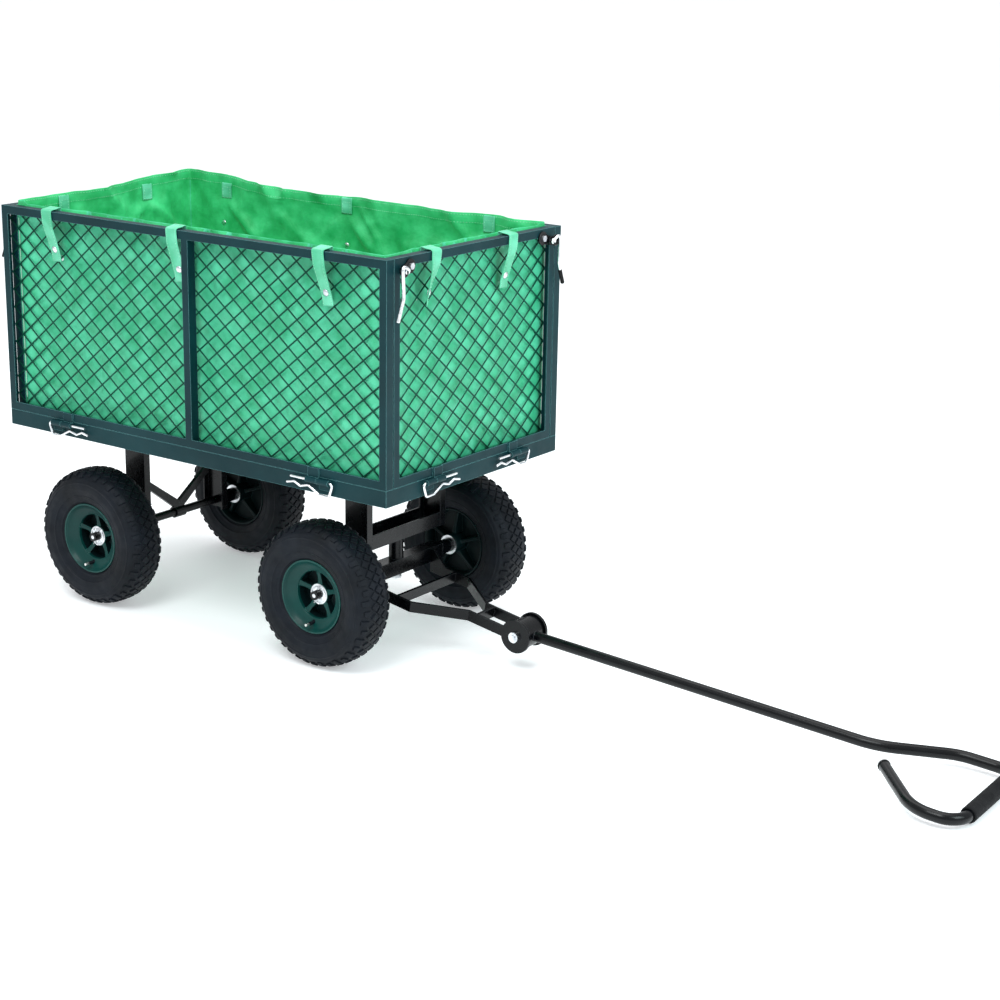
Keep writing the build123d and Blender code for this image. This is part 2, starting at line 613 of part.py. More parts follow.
# The tow frame lies in a plane that slopes down from the steering beam to the hitch.
slope_x = (math.cos(TOW_DROP), 0, -math.sin(TOW_DROP))
slope_z = (math.sin(TOW_DROP), 0, math.cos(TOW_DROP))
HITCH_AT = BED_X + HITCH_X
tow_plane = Plane(origin=(HITCH_AT, 0, HITCH_Z), x_dir=slope_x, z_dir=slope_z)
ARM_ROOT = (FRONT_X + BEAM / 2 + 0.5 - HITCH_AT) / math.cos(TOW_DROP) + 2
ARM_BEND = -188.0
EAR_BEND = -104.0
BAR_Z = HITCH_Z + (HITCH_AT - FRONT_X - BEAM / 2) * math.tan(TOW_DROP)
with BuildPart() as tow_frame:
    for hand in (-1, 1):
        with BuildSketch(tow_plane.offset(-TOW_BAR_H / 2)):
            with BuildLine():
                Polyline(
                    (ARM_ROOT, hand * TOW_ARM_Y), (ARM_BEND, hand * TOW_ARM_Y),
                    (EAR_BEND, hand * TOW_EAR_Y), (0, hand * TOW_EAR_Y),
                )
            trace(line_width=TOW_BAR_T)
        extrude(amount=TOW_BAR_H)
        ear = Plane(origin=(HITCH_AT, 0, HITCH_Z), x_dir=(1, 0, 0), z_dir=(0, hand, 0))
        with BuildSketch(ear.offset(TOW_EAR_Y - TOW_BAR_T / 2)):
            Circle(HITCH_R)
        extrude(amount=TOW_BAR_T)
        root_lug = Plane(origin=(FRONT_X + BEAM / 2, 0, BAR_Z), x_dir=(1, 0, 0), z_dir=(0, -1, 0))
        with BuildSketch(root_lug.offset(-hand * TOW_ARM_Y - TOW_BAR_T / 2)):
            with BuildLine():
                Polyline((0, 34), (8, 34), (34, 4), (34, -14), (0, -10), close=True)
            make_face()
        extrude(amount=TOW_BAR_T)
    with BuildSketch(tow_plane.offset(-TOW_BAR_H / 2)):
        with Locations((ARM_BEND - 32, 0)):
            Rectangle(TOW_BAR_T, 2 * TOW_ARM_Y)
        with Locations((EAR_BEND + 18, 0)):
            Rectangle(TOW_BAR_T, 2 * TOW_EAR_Y)
    extrude(amount=TOW_BAR_H)
    with BuildSketch(ear):
        Circle(HITCH_PIN_R + FIT)
    extrude(amount=BED_W, both=True, mode=Mode.SUBTRACT)
save(tow_frame.part, "tow_frame")

EAR_OUT = TOW_EAR_Y + TOW_BAR_T / 2
with BuildPart() as hitch_bolt:
    pin_plane = Plane(origin=(HITCH_AT, 0, HITCH_Z), x_dir=(1, 0, 0), z_dir=(0, -1, 0))
    with BuildSketch(pin_plane):
        Circle(HITCH_PIN_R)
    extrude(amount=EAR_OUT + 8, both=True)
    with BuildSketch(pin_plane.offset(EAR_OUT + 0.1)):
        Circle(9.5)
    extrude(amount=6)
    with BuildSketch(pin_plane.offset(-EAR_OUT - 0.1)):
        RegularPolygon(9.5, 6)
    extrude(amount=-8)
save(hitch_bolt.part, "hitch_bolt")

# ---- tow handle: hub, tube with an open loop, foam grip and end cap --------------------
GRIP_Z = GRIP_R + 2
handle_drop = math.atan2(HITCH_Z - GRIP_Z, HANDLE_REACH - HITCH_X)
handle_plane = Plane(
    origin=(HITCH_AT, 0, HITCH_Z),
    x_dir=(math.cos(handle_drop), 0, -math.sin(handle_drop)),
    z_dir=(math.sin(handle_drop), 0, math.cos(handle_drop)),
)
GRIP_U = math.hypot(HITCH_Z - GRIP_Z, HANDLE_REACH - HITCH_X)
HUB_W = 2 * (TOW_EAR_Y - TOW_BAR_T / 2) - 1
LOOP_NEAR = -168.0
LOOP_FAR = 62.0
free_end = (GRIP_U - 168, -62)
free_bend = (GRIP_U - 88, -150)
handle_route = [
    (HITCH_R - 8, 0), (GRIP_U - 212, 0), (GRIP_U - 98, LOOP_FAR), (GRIP_U - 4, LOOP_FAR),
    (GRIP_U + 4, LOOP_NEAR), (GRIP_U - 60, LOOP_NEAR), free_bend, free_end,
]
with BuildPart() as tow_handle:
    with BuildLine(handle_plane) as handle_path:
        FilletPolyline(*handle_route, radius=24)
    with BuildSketch(handle_path.line ^ 0):
        Circle(TUBE_R)
    sweep()
    with BuildSketch(pin_plane):
        Circle(HITCH_R - 4)
    extrude(amount=HUB_W / 2, both=True)
    with BuildSketch(pin_plane):
        Circle(HITCH_PIN_R + FIT)
    extrude(amount=HUB_W, both=True, mode=Mode.SUBTRACT)
save(tow_handle.part, "tow_handle")

GRIP_L = 160.0
grip_start = handle_plane.from_local_coords(Vector(GRIP_U - 4, LOOP_FAR, 0))
grip_stop = handle_plane.from_local_coords(Vector(GRIP_U + 4, LOOP_NEAR, 0))
grip_dir = (grip_stop - grip_start).normalized()
grip_middle = (grip_start + grip_stop) * 0.5
with BuildPart() as handle_grip:
    with BuildSketch(Plane(origin=grip_middle, x_dir=handle_plane.z_dir, z_dir=grip_dir)):
        Circle(GRIP_R)
        Circle(TUBE_R + FIT, mode=Mode.SUBTRACT)
    extrude(amount=GRIP_L / 2, both=True)
save(handle_grip.part, "handle_grip")

cap_at = handle_plane.from_local_coords(Vector(*free_end, 0))
cap_dir = (cap_at - handle_plane.from_local_coords(Vector(*free_bend, 0))).normalized()
with BuildPart() as handle_end_cap:
    with BuildSketch(Plane(origin=cap_at, x_dir=handle_plane.z_dir, z_dir=cap_dir)):
        Circle(TUBE_R + 0.8)
    extrude(amount=5)
    fillet(handle_end_cap.edges().group_by(Axis.X)[0], radius=2)
save(handle_end_cap.part, "handle_end_cap")
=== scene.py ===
import json
import math

import bmesh
import bpy
import numpy as np
from mathutils import Matrix, Vector, noise


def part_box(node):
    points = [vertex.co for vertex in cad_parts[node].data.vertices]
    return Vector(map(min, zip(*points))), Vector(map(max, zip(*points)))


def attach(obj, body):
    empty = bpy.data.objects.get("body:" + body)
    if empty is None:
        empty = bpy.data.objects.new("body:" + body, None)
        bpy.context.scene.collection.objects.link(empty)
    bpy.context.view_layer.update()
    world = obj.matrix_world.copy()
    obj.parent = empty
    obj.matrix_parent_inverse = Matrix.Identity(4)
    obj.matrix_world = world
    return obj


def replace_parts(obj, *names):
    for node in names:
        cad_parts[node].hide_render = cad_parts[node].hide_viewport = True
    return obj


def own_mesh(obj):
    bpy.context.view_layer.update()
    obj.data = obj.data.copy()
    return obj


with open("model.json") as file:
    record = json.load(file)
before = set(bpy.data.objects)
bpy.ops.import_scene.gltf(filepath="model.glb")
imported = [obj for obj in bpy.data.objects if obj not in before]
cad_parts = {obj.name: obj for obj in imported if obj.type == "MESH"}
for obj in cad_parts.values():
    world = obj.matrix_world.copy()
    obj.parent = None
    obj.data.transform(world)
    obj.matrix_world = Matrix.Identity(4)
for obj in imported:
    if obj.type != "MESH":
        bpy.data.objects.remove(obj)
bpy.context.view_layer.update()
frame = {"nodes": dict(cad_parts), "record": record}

# ---- camera and light -------------------------------------------------------------------
CAMERA_AT = (2.0642, -2.8733, 1.3124)
CAMERA_AZIMUTH = math.radians(35.58)
CAMERA_ELEVATION = math.radians(16.886)
CAMERA_ROLL = math.radians(1.067)
CAMERA_LENS = 76.366
CAMERA_SHIFT = (0.0, 0.03)


def look_matrix(position, azimuth, elevation, roll):
    """A camera's or lamp's place and turn, for a view from that azimuth and elevation."""
    back = Vector(
        (
            math.sin(azimuth) * math.cos(elevation),
            -math.cos(azimuth) * math.cos(elevation),
            math.sin(elevation),
        )
    )
    level = Vector((math.cos(azimuth), math.sin(azimuth), 0))
    right = math.cos(roll) * level + math.sin(roll) * back.cross(level)
    turn = Matrix((right, back.cross(right), back)).transposed().to_4x4()
    return Matrix.Translation(position) @ turn


def add_to_scene(name, data):
    made = bpy.data.objects.new(name, data)
    bpy.context.scene.collection.objects.link(made)
    return made


def make_camera():
    data = bpy.data.cameras.new("camera")
    data.lens = CAMERA_LENS
    data.sensor_width = 36.0
    data.shift_x, data.shift_y = CAMERA_SHIFT
    data.clip_end = 200.0
    camera = add_to_scene("camera", data)
    camera.matrix_world = look_matrix(
        CAMERA_AT, CAMERA_AZIMUTH, CAMERA_ELEVATION, CAMERA_ROLL
    )
    bpy.context.scene.camera = camera


def area_light(name, azimuth, elevation, distance, size, power, tint=(1.0, 1.0, 1.0)):
    """A soft square light that points at the middle of the cart."""
    data = bpy.data.lights.new(name, "AREA")
    data.shape = "SQUARE"
    data.size = size
    data.energy = power
    data.color = tint
    lamp = add_to_scene(name, data)
    azimuth, elevation = math.radians(azimuth), math.radians(elevation)
    turn = look_matrix((0, 0, 0), azimuth, elevation, 0)
    back = Vector(turn.col[2][:3])
    lamp.matrix_world = Matrix.Translation(Vector((-0.2, 0, 0.4)) + distance * back) @ turn


make_camera()
bpy.context.scene.view_settings.view_transform = "Standard"
area_light("key", 12, 52, 3.4, 1.6, 66, (0.95, 1.0, 1.0))
area_light("top", 150, 80, 3.0, 2.4, 46)
area_light("front", 84, 28, 3.4, 1.4, 46, (0.82, 0.98, 1.0))
area_light("far_side", 230, 50, 3.8, 2.0, 20)

world = bpy.data.worlds.new("studio")
world.use_nodes = True
world.node_tree.nodes["Background"].inputs["Color"].default_value = (0.96, 0.98, 1.0, 1)
world.node_tree.nodes["Background"].inputs["Strength"].default_value = 0.8
bpy.context.scene.world = world


# ---- materials --------------------------------------------------------------------------
COAT_ROUGH = 0.12
PAINT_GRAIN = 900.0
METAL_GRAIN = 220.0


def srgb(red, green, blue):
    """Scene-linear colour for an sRGB colour of 0 to 255."""
    return tuple(
        c / 12.92 if c <= 0.04045 else ((c + 0.055) / 1.055) ** 2.4
        for c in (red / 255, green / 255, blue / 255)
    ) + (1.0,)


class Finish:
    """A procedural material: colour, roughness and relief from textures in object space."""

    def __init__(self, name, rough=0.5, metallic=0.0, specular=0.5, coat=0.0, sheen=0.0):
        self.made = bpy.data.materials.new(name)
        self.made.use_nodes = True
        self.nodes = self.made.node_tree.nodes
        self.links = self.made.node_tree.links
        self.shader = self.nodes["Principled BSDF"]
        looks = {"Roughness": rough, "Metallic": metallic, "Specular IOR Level": specular}
        looks |= {"Coat Weight": coat, "Coat Roughness": COAT_ROUGH, "Sheen Weight": sheen}
        for label, value in looks.items():
            self.shader.inputs[label].default_value = value
        self.place = self.node("TexCoord").outputs["Object"]
        self.normal = None

    def node(self, kind, values=None):
        """A new shader node with some of its inputs set."""
        made = self.nodes.new("ShaderNode" + kind)
        for label, value in (values or {}).items():
            made.inputs[label].default_value = value
        return made

    def noise(self, scale, detail=3.0):
        texture = self.node("TexNoise", {"Scale": scale, "Detail": detail})
        self.links.new(self.place, texture.inputs["Vector"])
        return texture.outputs["Fac"]

    def ramp(self, value, low, high, start=0.35, stop=0.65):
        made = self.node("ValToRGB")
        for end, position, colour in zip(made.color_ramp.elements, (start, stop), (low, high)):
            end.position = position
            end.color = colour
        self.links.new(value, made.inputs["Fac"])
        return made.outputs["Color"]

    def map_range(self, value, low, high, start=0.3, stop=0.7):
        ends = {"From Min": start, "From Max": stop, "To Min": low, "To Max": high}
        made = self.node("MapRange", ends)
        self.links.new(value, made.inputs["Value"])
        return made.outputs["Result"]

    def add(self, one, other):
        made = self.node("Math")
        made.operation = "ADD"
        for value, socket in zip((one, other), made.inputs):
            self.links.new(value, socket)
        return made.outputs["Value"]

    def mix(self, share, body, colour):
        """The body's colours, giving way to one plain colour as share rises."""
        made = self.node("Mix")
        made.data_type = "RGBA"
        self.links.new(share, made.inputs["Factor"])
        self.links.new(body, made.inputs["A"])
        made.inputs["B"].default_value = colour
        return made.outputs["Result"]

    def colour(self, value):
        self.links.new(value, self.shader.inputs["Base Color"])

    def roughness(self, value):
        self.links.new(value, self.shader.inputs["Roughness"])

    def bump(self, height, distance, strength):
        made = self.node("Bump", {"Distance": distance, "Strength": strength})
        self.links.new(height, made.inputs["Height"])
        if self.normal is not None:
            self.links.new(self.normal, made.inputs["Normal"])
        self.normal = made.outputs["Normal"]
        self.links.new(self.normal, self.shader.inputs["Normal"])

    def painted_highlight_mask(self, radius):
        """0 on flat faces, rising to 1 along convex and concave edges; it places the painted edge
        highlight.
        """
        rounded = self.node("Bevel", {"Radius": radius})
        rounded.samples = 4
        flat = self.node("NewGeometry").outputs["Normal"]
        product = self.node("VectorMath")
        product.operation = "DOT_PRODUCT"
        self.links.new(rounded.outputs["Normal"], product.inputs[0])
        self.links.new(flat, product.inputs[1])
        self.normal = rounded.outputs["Normal"]
        return self.map_range(product.outputs["Value"], 1.0, 0.0, 0.82, 0.995)


def paint(name, dark, light, edge, rough, coat=0.0, edge_radius=0.0013):
    """Powder coat: slow colour drift, orange peel, and a painted highlight, a paler line along every
    edge.
    """
    finish = Finish(name, specular=0.18, coat=coat)
    body = finish.ramp(finish.noise(7.0, 4.0), srgb(*dark), srgb(*light))
    # the edge colour is a painted highlight, mixed in along every edge
    finish.colour(finish.mix(finish.painted_highlight_mask(edge_radius), body, srgb(*edge)))
    finish.roughness(finish.map_range(finish.noise(34.0), rough - 0.05, rough + 0.08))
    finish.bump(finish.noise(PAINT_GRAIN, 2.0), 0.0004, 0.25)
    return finish.made


def metal(name, dark, light, rough):
    """Plated metal with fine scratches and slight clouding."""
    finish = Finish(name, metallic=1.0)
    finish.colour(finish.ramp(finish.noise(60.0), srgb(*dark), srgb(*light)))
    finish.roughness(finish.map_range(finish.noise(METAL_GRAIN, 4.0), rough - 0.08, rough + 0.12))
    finish.bump(finish.noise(METAL_GRAIN * 3, 2.0), 0.0002, 0.2)
    return finish.made


def cloth(name, dark, light, rough, sheen, weave=900.0):
    """Coated woven fabric: three crossing thread directions, creases and blotches."""
    finish = Finish(name, rough=rough, specular=0.4, sheen=sheen)
    finish.shader.inputs["Sheen Roughness"].default_value = 0.4
    blotch = finish.ramp(finish.noise(26.0, 6.0), srgb(*dark), srgb(*light), 0.36, 0.64)
    thread = finish.noise(weave, 2.0)
    finish.colour(finish.mix(finish.map_range(thread, 0.0, 0.22), blotch, srgb(*dark)))
    finish.roughness(finish.map_range(finish.noise(28.0, 4.0), rough - 0.08, rough + 0.1))
    height = None
    for direction in "XYZ":
        wave = finish.node("TexWave", {"Scale": weave / math.tau})
        wave.bands_direction = direction
        finish.links.new(finish.place, wave.inputs["Vector"])
        height = wave.outputs["Fac"] if height is None else finish.add(height, wave.outputs["Fac"])
    finish.bump(height, 0.00015, 0.35)
    finish.bump(finish.noise(38.0, 6.0), 0.0040, 0.6)
    return finish.made


def rubber(name, dark, light, rough, grain, depth):
    """Rubber, foam or moulded plastic: soft blotches and a fine grain of its own depth."""
    finish = Finish(name, specular=0.2)
    finish.colour(finish.ramp(finish.noise(18.0, 5.0), srgb(*dark), srgb(*light)))
    finish.roughness(finish.map_range(finish.noise(60.0), rough - 0.08, rough + 0.1))
    finish.bump(finish.noise(grain, 3.0), depth, 0.5)
    return finish.made


# in each paint finish the third colour is a painted highlight along its edges
LOOKS = {
    "frame_paint": (paint, (0, 38, 43), (3, 49, 54), (96, 152, 154), 0.5),
    "mesh_paint": (paint, (0, 58, 44), (4, 70, 54), (10, 84, 66), 0.6, 0.0, 0.0005),
    "black_paint": (paint, (1, 2, 4), (5, 7, 10), (46, 50, 54), 0.25, 0.12),
    "rim_paint": (paint, (2, 46, 44), (10, 62, 58), (60, 118, 110), 0.36, 0.06),
    # painted shade: a near-black copy of the rim paint for the rim's inner side
    "rim_painted_shade": (paint, (0, 12, 14), (2, 24, 26), (18, 52, 52), 0.5),
    "zinc": (metal, (198, 202, 208), (234, 236, 238), 0.26),
    "zinc_wire": (metal, (222, 226, 230), (250, 252, 254), 0.2),
    "bearing_steel": (metal, (190, 192, 196), (226, 228, 230), 0.3),
    "tyre": (rubber, (3, 8, 15), (10, 17, 26), 0.6, 1400.0, 0.0003),
    "foam": (rubber, (8, 9, 11), (17, 18, 20), 0.8, 1900.0, 0.0006),
    "cap_plastic": (rubber, (6, 7, 9), (14, 15, 17), 0.45, 1500.0, 0.0001),
    "liner_fabric": (cloth, (46, 168, 120), (78, 198, 154), 0.46, 0.08),
    "liner_inside": (cloth, (30, 164, 92), (62, 198, 126), 0.46, 0.08),
    "strap_fabric": (cloth, (70, 172, 130), (106, 204, 168), 0.5, 0.1),
    "thread": (cloth, (140, 222, 184), (180, 240, 212), 0.6, 0.1, 2400.0),
    "valve_cap": (metal, (184, 184, 180), (220, 220, 216), 0.3),
}
MATERIALS = {name: make(name, *values) for name, (make, *values) in LOOKS.items()}
SLOT_OF = {piece["node"]: piece["material_slot"] for piece in frame["record"]["subparts"]}
for node, made in frame["nodes"].items():
    made.data.materials.clear()
    made.data.materials.append(MATERIALS[SLOT_OF[node]])


# ---- mesh helpers -----------------------------------------------------------------------
def mesh_piece(name, shape, finish, body):
    """A smooth mesh object from (points, faces), with a finish, riding on a body."""
    points, faces = shape
    mesh = bpy.data.meshes.new(name)
    mesh.from_pydata([tuple(p) for p in points], [], [tuple(f) for f in faces])
    mesh.validate()
    mesh.update()
    for polygon in mesh.polygons:
        polygon.use_smooth = True
    mesh.materials.append(MATERIALS[finish])
    made = add_to_scene(name, mesh)
    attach(made, body)
    return made


def merge(parts):
    """(points, faces) of several (points, faces)."""
    points, faces = [], []
    for some_points, some_faces in parts:
        start = len(points)
        points.extend(some_points)
        faces.extend(tuple(i + start for i in face) for face in some_faces)
    return points, faces


def rings_to_faces(count, rings, joined=False):
    """Quads between rings of count points each; joined links the last ring to the first."""
    faces = []
    for ring in range(rings if joined else rings - 1):
        low = ring * count
        high = (ring + 1) % rings * count
        for i in range(count):
            j = (i + 1) % count
            faces.append((low + i, low + j, high + j, high + i))
    return faces


def end_caps(count, rings):
    """The faces that shut the first and the last of some rings."""
    return [tuple(range(count))[::-1], tuple(range((rings - 1) * count, rings * count))]


def lathe(profile, centre, axis, segments, closed=False):
    """Turns (radius, along) pairs round an axis; a closed profile ends where it starts."""
    axis = Vector(axis).normalized()
    across = axis.orthogonal().normalized()
    other = axis.cross(across)
    points = []
    for radius, along in profile:
        for k in range(segments):
            turn = math.tau * k / segments
            spoke = math.cos(turn) * across + math.sin(turn) * other
            points.append(Vector(centre) + along * axis + radius * spoke)
    faces = rings_to_faces(segments, len(profile), joined=closed)
    return points, faces if closed else faces + end_caps(segments, len(profile))


SMOOTH_STEPS = 5


def smooth_line(points):
    """A Catmull-Rom curve through points."""
    points = [Vector(p) for p in points]
    padded = [2 * points[0] - points[1], *points, 2 * points[-1] - points[-2]]
    line = []
    for a, b, c, d in zip(padded, padded[1:], padded[2:], padded[3:]):
        for step in range(SMOOTH_STEPS):
            t = step / SMOOTH_STEPS
            square = (2 * a - 5 * b + 4 * c - d) * t**2
            cube = (3 * b - a - 3 * c + d) * t**3
            line.append(0.5 * (2 * b + (c - a) * t + square + cube))
    return line + [points[-1]]


# size of each extra ring of a bar's domed end, and how far out it is, in radii
DOME = ((0.95, 0.3), (0.72, 0.7))


def tube(line, radius, sides, end_round=True):
    """A round bar along a line of points, with domed or flat ends."""
    rings, previous = [], None
    for i, point in enumerate(line):
        ahead = (line[min(i + 1, len(line) - 1)] - line[max(i - 1, 0)]).normalized()
        if previous is None:
            previous = ahead.orthogonal().normalized()
        previous = (previous - previous.dot(ahead) * ahead).normalized()
        rings.append((point, ahead, previous, radius))
    if end_round:
        ends = ((-1, rings[0]), (1, rings[-1]))
        for size, out in DOME:
            head, tail = (
                (point + way * radius * out * ahead, ahead, across, radius * size)
                for way, (point, ahead, across, _) in ends
            )
            rings = [head, *rings, tail]
    points = []
    for point, ahead, across, size in rings:
        other = ahead.cross(across)
        for k in range(sides):
            turn = math.tau * k / sides
            points.append(point + size * (math.cos(turn) * across + math.sin(turn) * other))
    return points, rings_to_faces(sides, len(rings)) + end_caps(sides, len(rings))


def box_middle(node):
    low, high = (Vector(corner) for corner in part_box(node))
    return (low + high) / 2


def clamp(value):
    return min(1.0, max(0.0, value))


# ---- sides of the bed -------------------------------------------------------------------
LINER_LOW, LINER_HIGH = (Vector(corner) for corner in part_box("liner"))
BED_MIDDLE = (LINER_LOW + LINER_HIGH) / 2
PANEL_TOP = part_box("right_panel_frame")[1][2]
BED_HALF_L = 0.453
BED_HALF_W = 0.247
# each side's middle, the way along it and the way out from it
FACE_AT = {
    "right": ((BED_MIDDLE.x, -BED_HALF_W), (1, 0), (0, -1)),
    "left": ((BED_MIDDLE.x, BED_HALF_W), (-1, 0), (0, 1)),
    "front": ((BED_MIDDLE.x + BED_HALF_L, 0), (0, 1), (1, 0)),
    "rear": ((BED_MIDDLE.x - BED_HALF_L, 0), (0, -1), (-1, 0)),
}


def on_face(side, along, out, height):
    """A point on one side of the bed: along it, out from its face, and its height."""
    (x, y), (ax, ay), (ox, oy) = FACE_AT[side]
    return Vector((x + along * ax + out * ox, y + along * ay + out * oy, height))


# ---- liner ------------------------------------------------------------------------------
LINER_CORNER = 0.002
LINER_STEP = 0.0075
HEM_H = 0.021
CLOTH_T = 0.0009
LEFT_STRAPS = (BED_MIDDLE.x + 0.312, BED_MIDDLE.x - 0.022, BED_MIDDLE.x - 0.330)
REAR_STRAPS = (0.103, -0.115)
# slope below the horizontal, reach and depth of the folds that start at a strap
FOLDS = (
    (math.radians(38), 0.20, 0.0130),
    (math.radians(142), 0.14, 0.0090),
    (math.radians(82), 0.14, 0.0050),
)
FAR_MARGIN = 0.02        # points this near a far wall's plane belong to it
HOLD = 0.97              # how far a strap takes the slack out of the rim
HOLD_REACH = 0.045
CORNERS = ((1, 1), (-1, 1), (-1, -1), (1, -1))
CORNER_STEPS = 8


def corner_loop():
    """Dense round-cornered rectangle, anticlockwise: lengths, points and outward normals."""
    half_x = (LINER_HIGH.x - LINER_LOW.x) / 2 - LINER_CORNER
    half_y = (LINER_HIGH.y - LINER_LOW.y) / 2 - LINER_CORNER
    points, normals = [], []
    for quarter, (sx, sy) in enumerate(CORNERS):
        for step in range(CORNER_STEPS + 1):
            turn = math.pi / 2 * (quarter + step / CORNER_STEPS)
            normal = Vector((math.cos(turn), math.sin(turn)))
            points.append(Vector((sx * half_x, sy * half_y)) + LINER_CORNER * normal)
            normals.append(normal)
    points.append(points[0])
    normals.append(normals[0])
    lengths = np.cumsum([0] + [(b - a).length for a, b in zip(points, points[1:])])
    return lengths, np.array([tuple(p) for p in points]), np.array([tuple(n) for n in normals])


LOOP_LENGTHS, LOOP_POINTS, LOOP_NORMALS = corner_loop()
LOOP_LENGTH = float(LOOP_LENGTHS[-1])


def around(t):
    """Point and outward normal at length t round the liner."""
    t = t % LOOP_LENGTH
    x, y = (np.interp(t, LOOP_LENGTHS, LOOP_POINTS[:, k]) for k in (0, 1))
    nx, ny = (np.interp(t, LOOP_LENGTHS, LOOP_NORMALS[:, k]) for k in (0, 1))
    normal = Vector((nx, ny, 0)).normalized()
    return Vector((BED_MIDDLE.x + x, BED_MIDDLE.y + y, 0)), normal


def soft(point, scale, offset):
    """Smooth noise between about -1 and 1, stretched by scale and moved by offset."""
    x, y, z = (value * size for value, size in zip(point, scale))
    return noise.noise(Vector((x + offset, y - offset, z + 2 * offset)))


def strap_pull(point, share):
    """Folds that run down the far walls from each strap, and how tightly its rim is held."""
    if not is_far(point):
        return 0.0, 0.0
    on_rear = point.x < LINER_LOW.x + FAR_MARGIN
    along = point.y if on_rear else point.x
    below = max(0.0, LINER_HIGH.z - point.z - 0.030)
    pull, held = 0.0, 0.0
    for at in REAR_STRAPS if on_rear else LEFT_STRAPS:
        across = along - at
        near = math.exp(-((across / HOLD_REACH) ** 4))
        held = max(held, HOLD * near * clamp((share - 0.7) / 0.2))
        for slope, reach, depth in FOLDS:
            run = across * math.cos(slope) + below * math.sin(slope)
            off = abs(below * math.cos(slope) - across * math.sin(slope))
            if run > 0:
                ridge = max(0.0, 1 - off / (0.009 + 0.07 * run))
                pull += depth * min(1.0, run / 0.03) * math.exp(-run / reach) * ridge
    return pull, held


def slack(point, share):
    """How far inwards the liner's wall stands, at a share of its height from the floor."""
    corner_x = (LINER_HIGH.x - LINER_LOW.x) / 2 - abs(point.x - BED_MIDDLE.x)
    corner_y = (LINER_HIGH.y - LINER_LOW.y) / 2 - abs(point.y - BED_MIDDLE.y)
    free = min(1.0, max(0.0, max(corner_x, corner_y) - 0.008) / 0.09)
    free = free * free * (3 - 2 * free) * min(1.0, share / 0.06)
    fold = 0.5 + 0.5 * soft(point, (9, 9, 5), 3.1)
    slant = soft(Vector((point.x + 0.9 * point.z, point.y + 0.7 * point.z, point.z)), (13, 13, 4), 1.3)
    crease = 1 - min(1.0, 3.2 * abs(soft(point, (19, 19, 15), 9.7)))
    wrinkle = abs(soft(point, (44, 44, 34), 5.3))
    loose = share**1.5 if is_far(point) else 0.25 + 0.3 * share
    ridge = max(0.0, 1 - 2.6 * abs(slant))
    drape = loose * (0.0140 * fold + 0.0110 * ridge**2)
    pull, held = strap_pull(point, share)
    return free * ((1 - held) * (0.0010 + drape + 0.0024 * crease + 0.0032 * wrinkle) + pull)


def is_far(point):
    """True on the left and rear walls, which hang looser than the other two."""
    return point.y > LINER_HIGH.y - FAR_MARGIN or point.x < LINER_LOW.x + FAR_MARGIN


def rim_height(point):
    """The rim's wave between its straps; it stands up at the rear left corner."""
    away = math.hypot(point.x - LINER_LOW.x, point.y - LINER_HIGH.y)
    wave = 0.0030 * soft(point, (11, 11, 0), 7.7) + 0.0010 * soft(point, (31, 31, 0), 2.2)
    if is_far(point):
        return 0.0030 + wave + 0.0165 * math.exp(-((away / 0.20) ** 2))
    return -0.0015 + 0.3 * wave


def wall_point(t, share, inwards=0.0):
    """A point on the liner's wall, and the wall's outward normal there."""
    base, normal = around(t)
    top = LINER_HIGH.z + 0.0006 + rim_height(base)
    base.z = LINER_LOW.z + 0.0008 + share * (top - LINER_LOW.z - 0.0008)
    depth = 0.0002 + slack(base, share) + inwards
    depth += 0.0012 * max(0.0, 1 - share / 0.012) ** 2
    return base - depth * normal, normal


def make_liner():
    """The liner's cloth: rings of points out over the floor and then up the walls."""
    count = round(LOOP_LENGTH / LINER_STEP)
    levels = round((LINER_HIGH.z - LINER_LOW.z) / LINER_STEP)
    points = []
    half_x = (LINER_HIGH.x - LINER_LOW.x) / 2
    half_y = (LINER_HIGH.y - LINER_LOW.y) / 2
    floor_rings = round(half_y / LINER_STEP)
    for ring in range(floor_rings):
        share = (ring + 0.02) / floor_rings
        inset = (1 - share) * (half_y - 0.0008)
        for k in range(count):
            edge, _ = wall_point(LOOP_LENGTH * k / count, 0.0)
            x = (edge.x - BED_MIDDLE.x) * (half_x - inset) / half_x
            y = (edge.y - BED_MIDDLE.y) * (half_y - inset) / half_y
            point = Vector((BED_MIDDLE.x + x, BED_MIDDLE.y + y, LINER_LOW.z + 0.0007))
            point.z += 0.0022 * (0.5 + 0.5 * soft(point, (16, 16, 0), 4.4)) * (1 - share**6)
            point.z += 0.0012 * (1 - min(1.0, 4 * abs(soft(point, (22, 22, 0), 8.1)))) * (1 - share**6)
            points.append(point)
    for level in range(levels + 1):
        share = level / levels
        points += [wall_point(LOOP_LENGTH * k / count, share)[0] for k in range(count)]
    faces = rings_to_faces(count, floor_rings + levels + 1)
    faces.append(tuple(range(count))[::-1])
    made = mesh_piece("liner_sheet", (points, faces), "liner_fabric", "liner")
    made.data.materials.append(MATERIALS["liner_inside"])
    thick = made.modifiers.new("thickness", "SOLIDIFY")
    thick.thickness = CLOTH_T
    thick.offset = 0
    thick.material_offset = 1
    thick.material_offset_rim = 1
    return made


STITCH_W = 0.0009
STITCH_H = 0.0007
STITCH_SHARE = 0.62      # of each stitch's pitch, the part that shows
STITCH_FACES = (
    (0, 1, 5), (0, 5, 2), (5, 1, 4), (5, 4, 2), (3, 6, 1),
    (3, 2, 6), (6, 4, 1), (6, 2, 4), (0, 2, 1), (3, 1, 2),
)


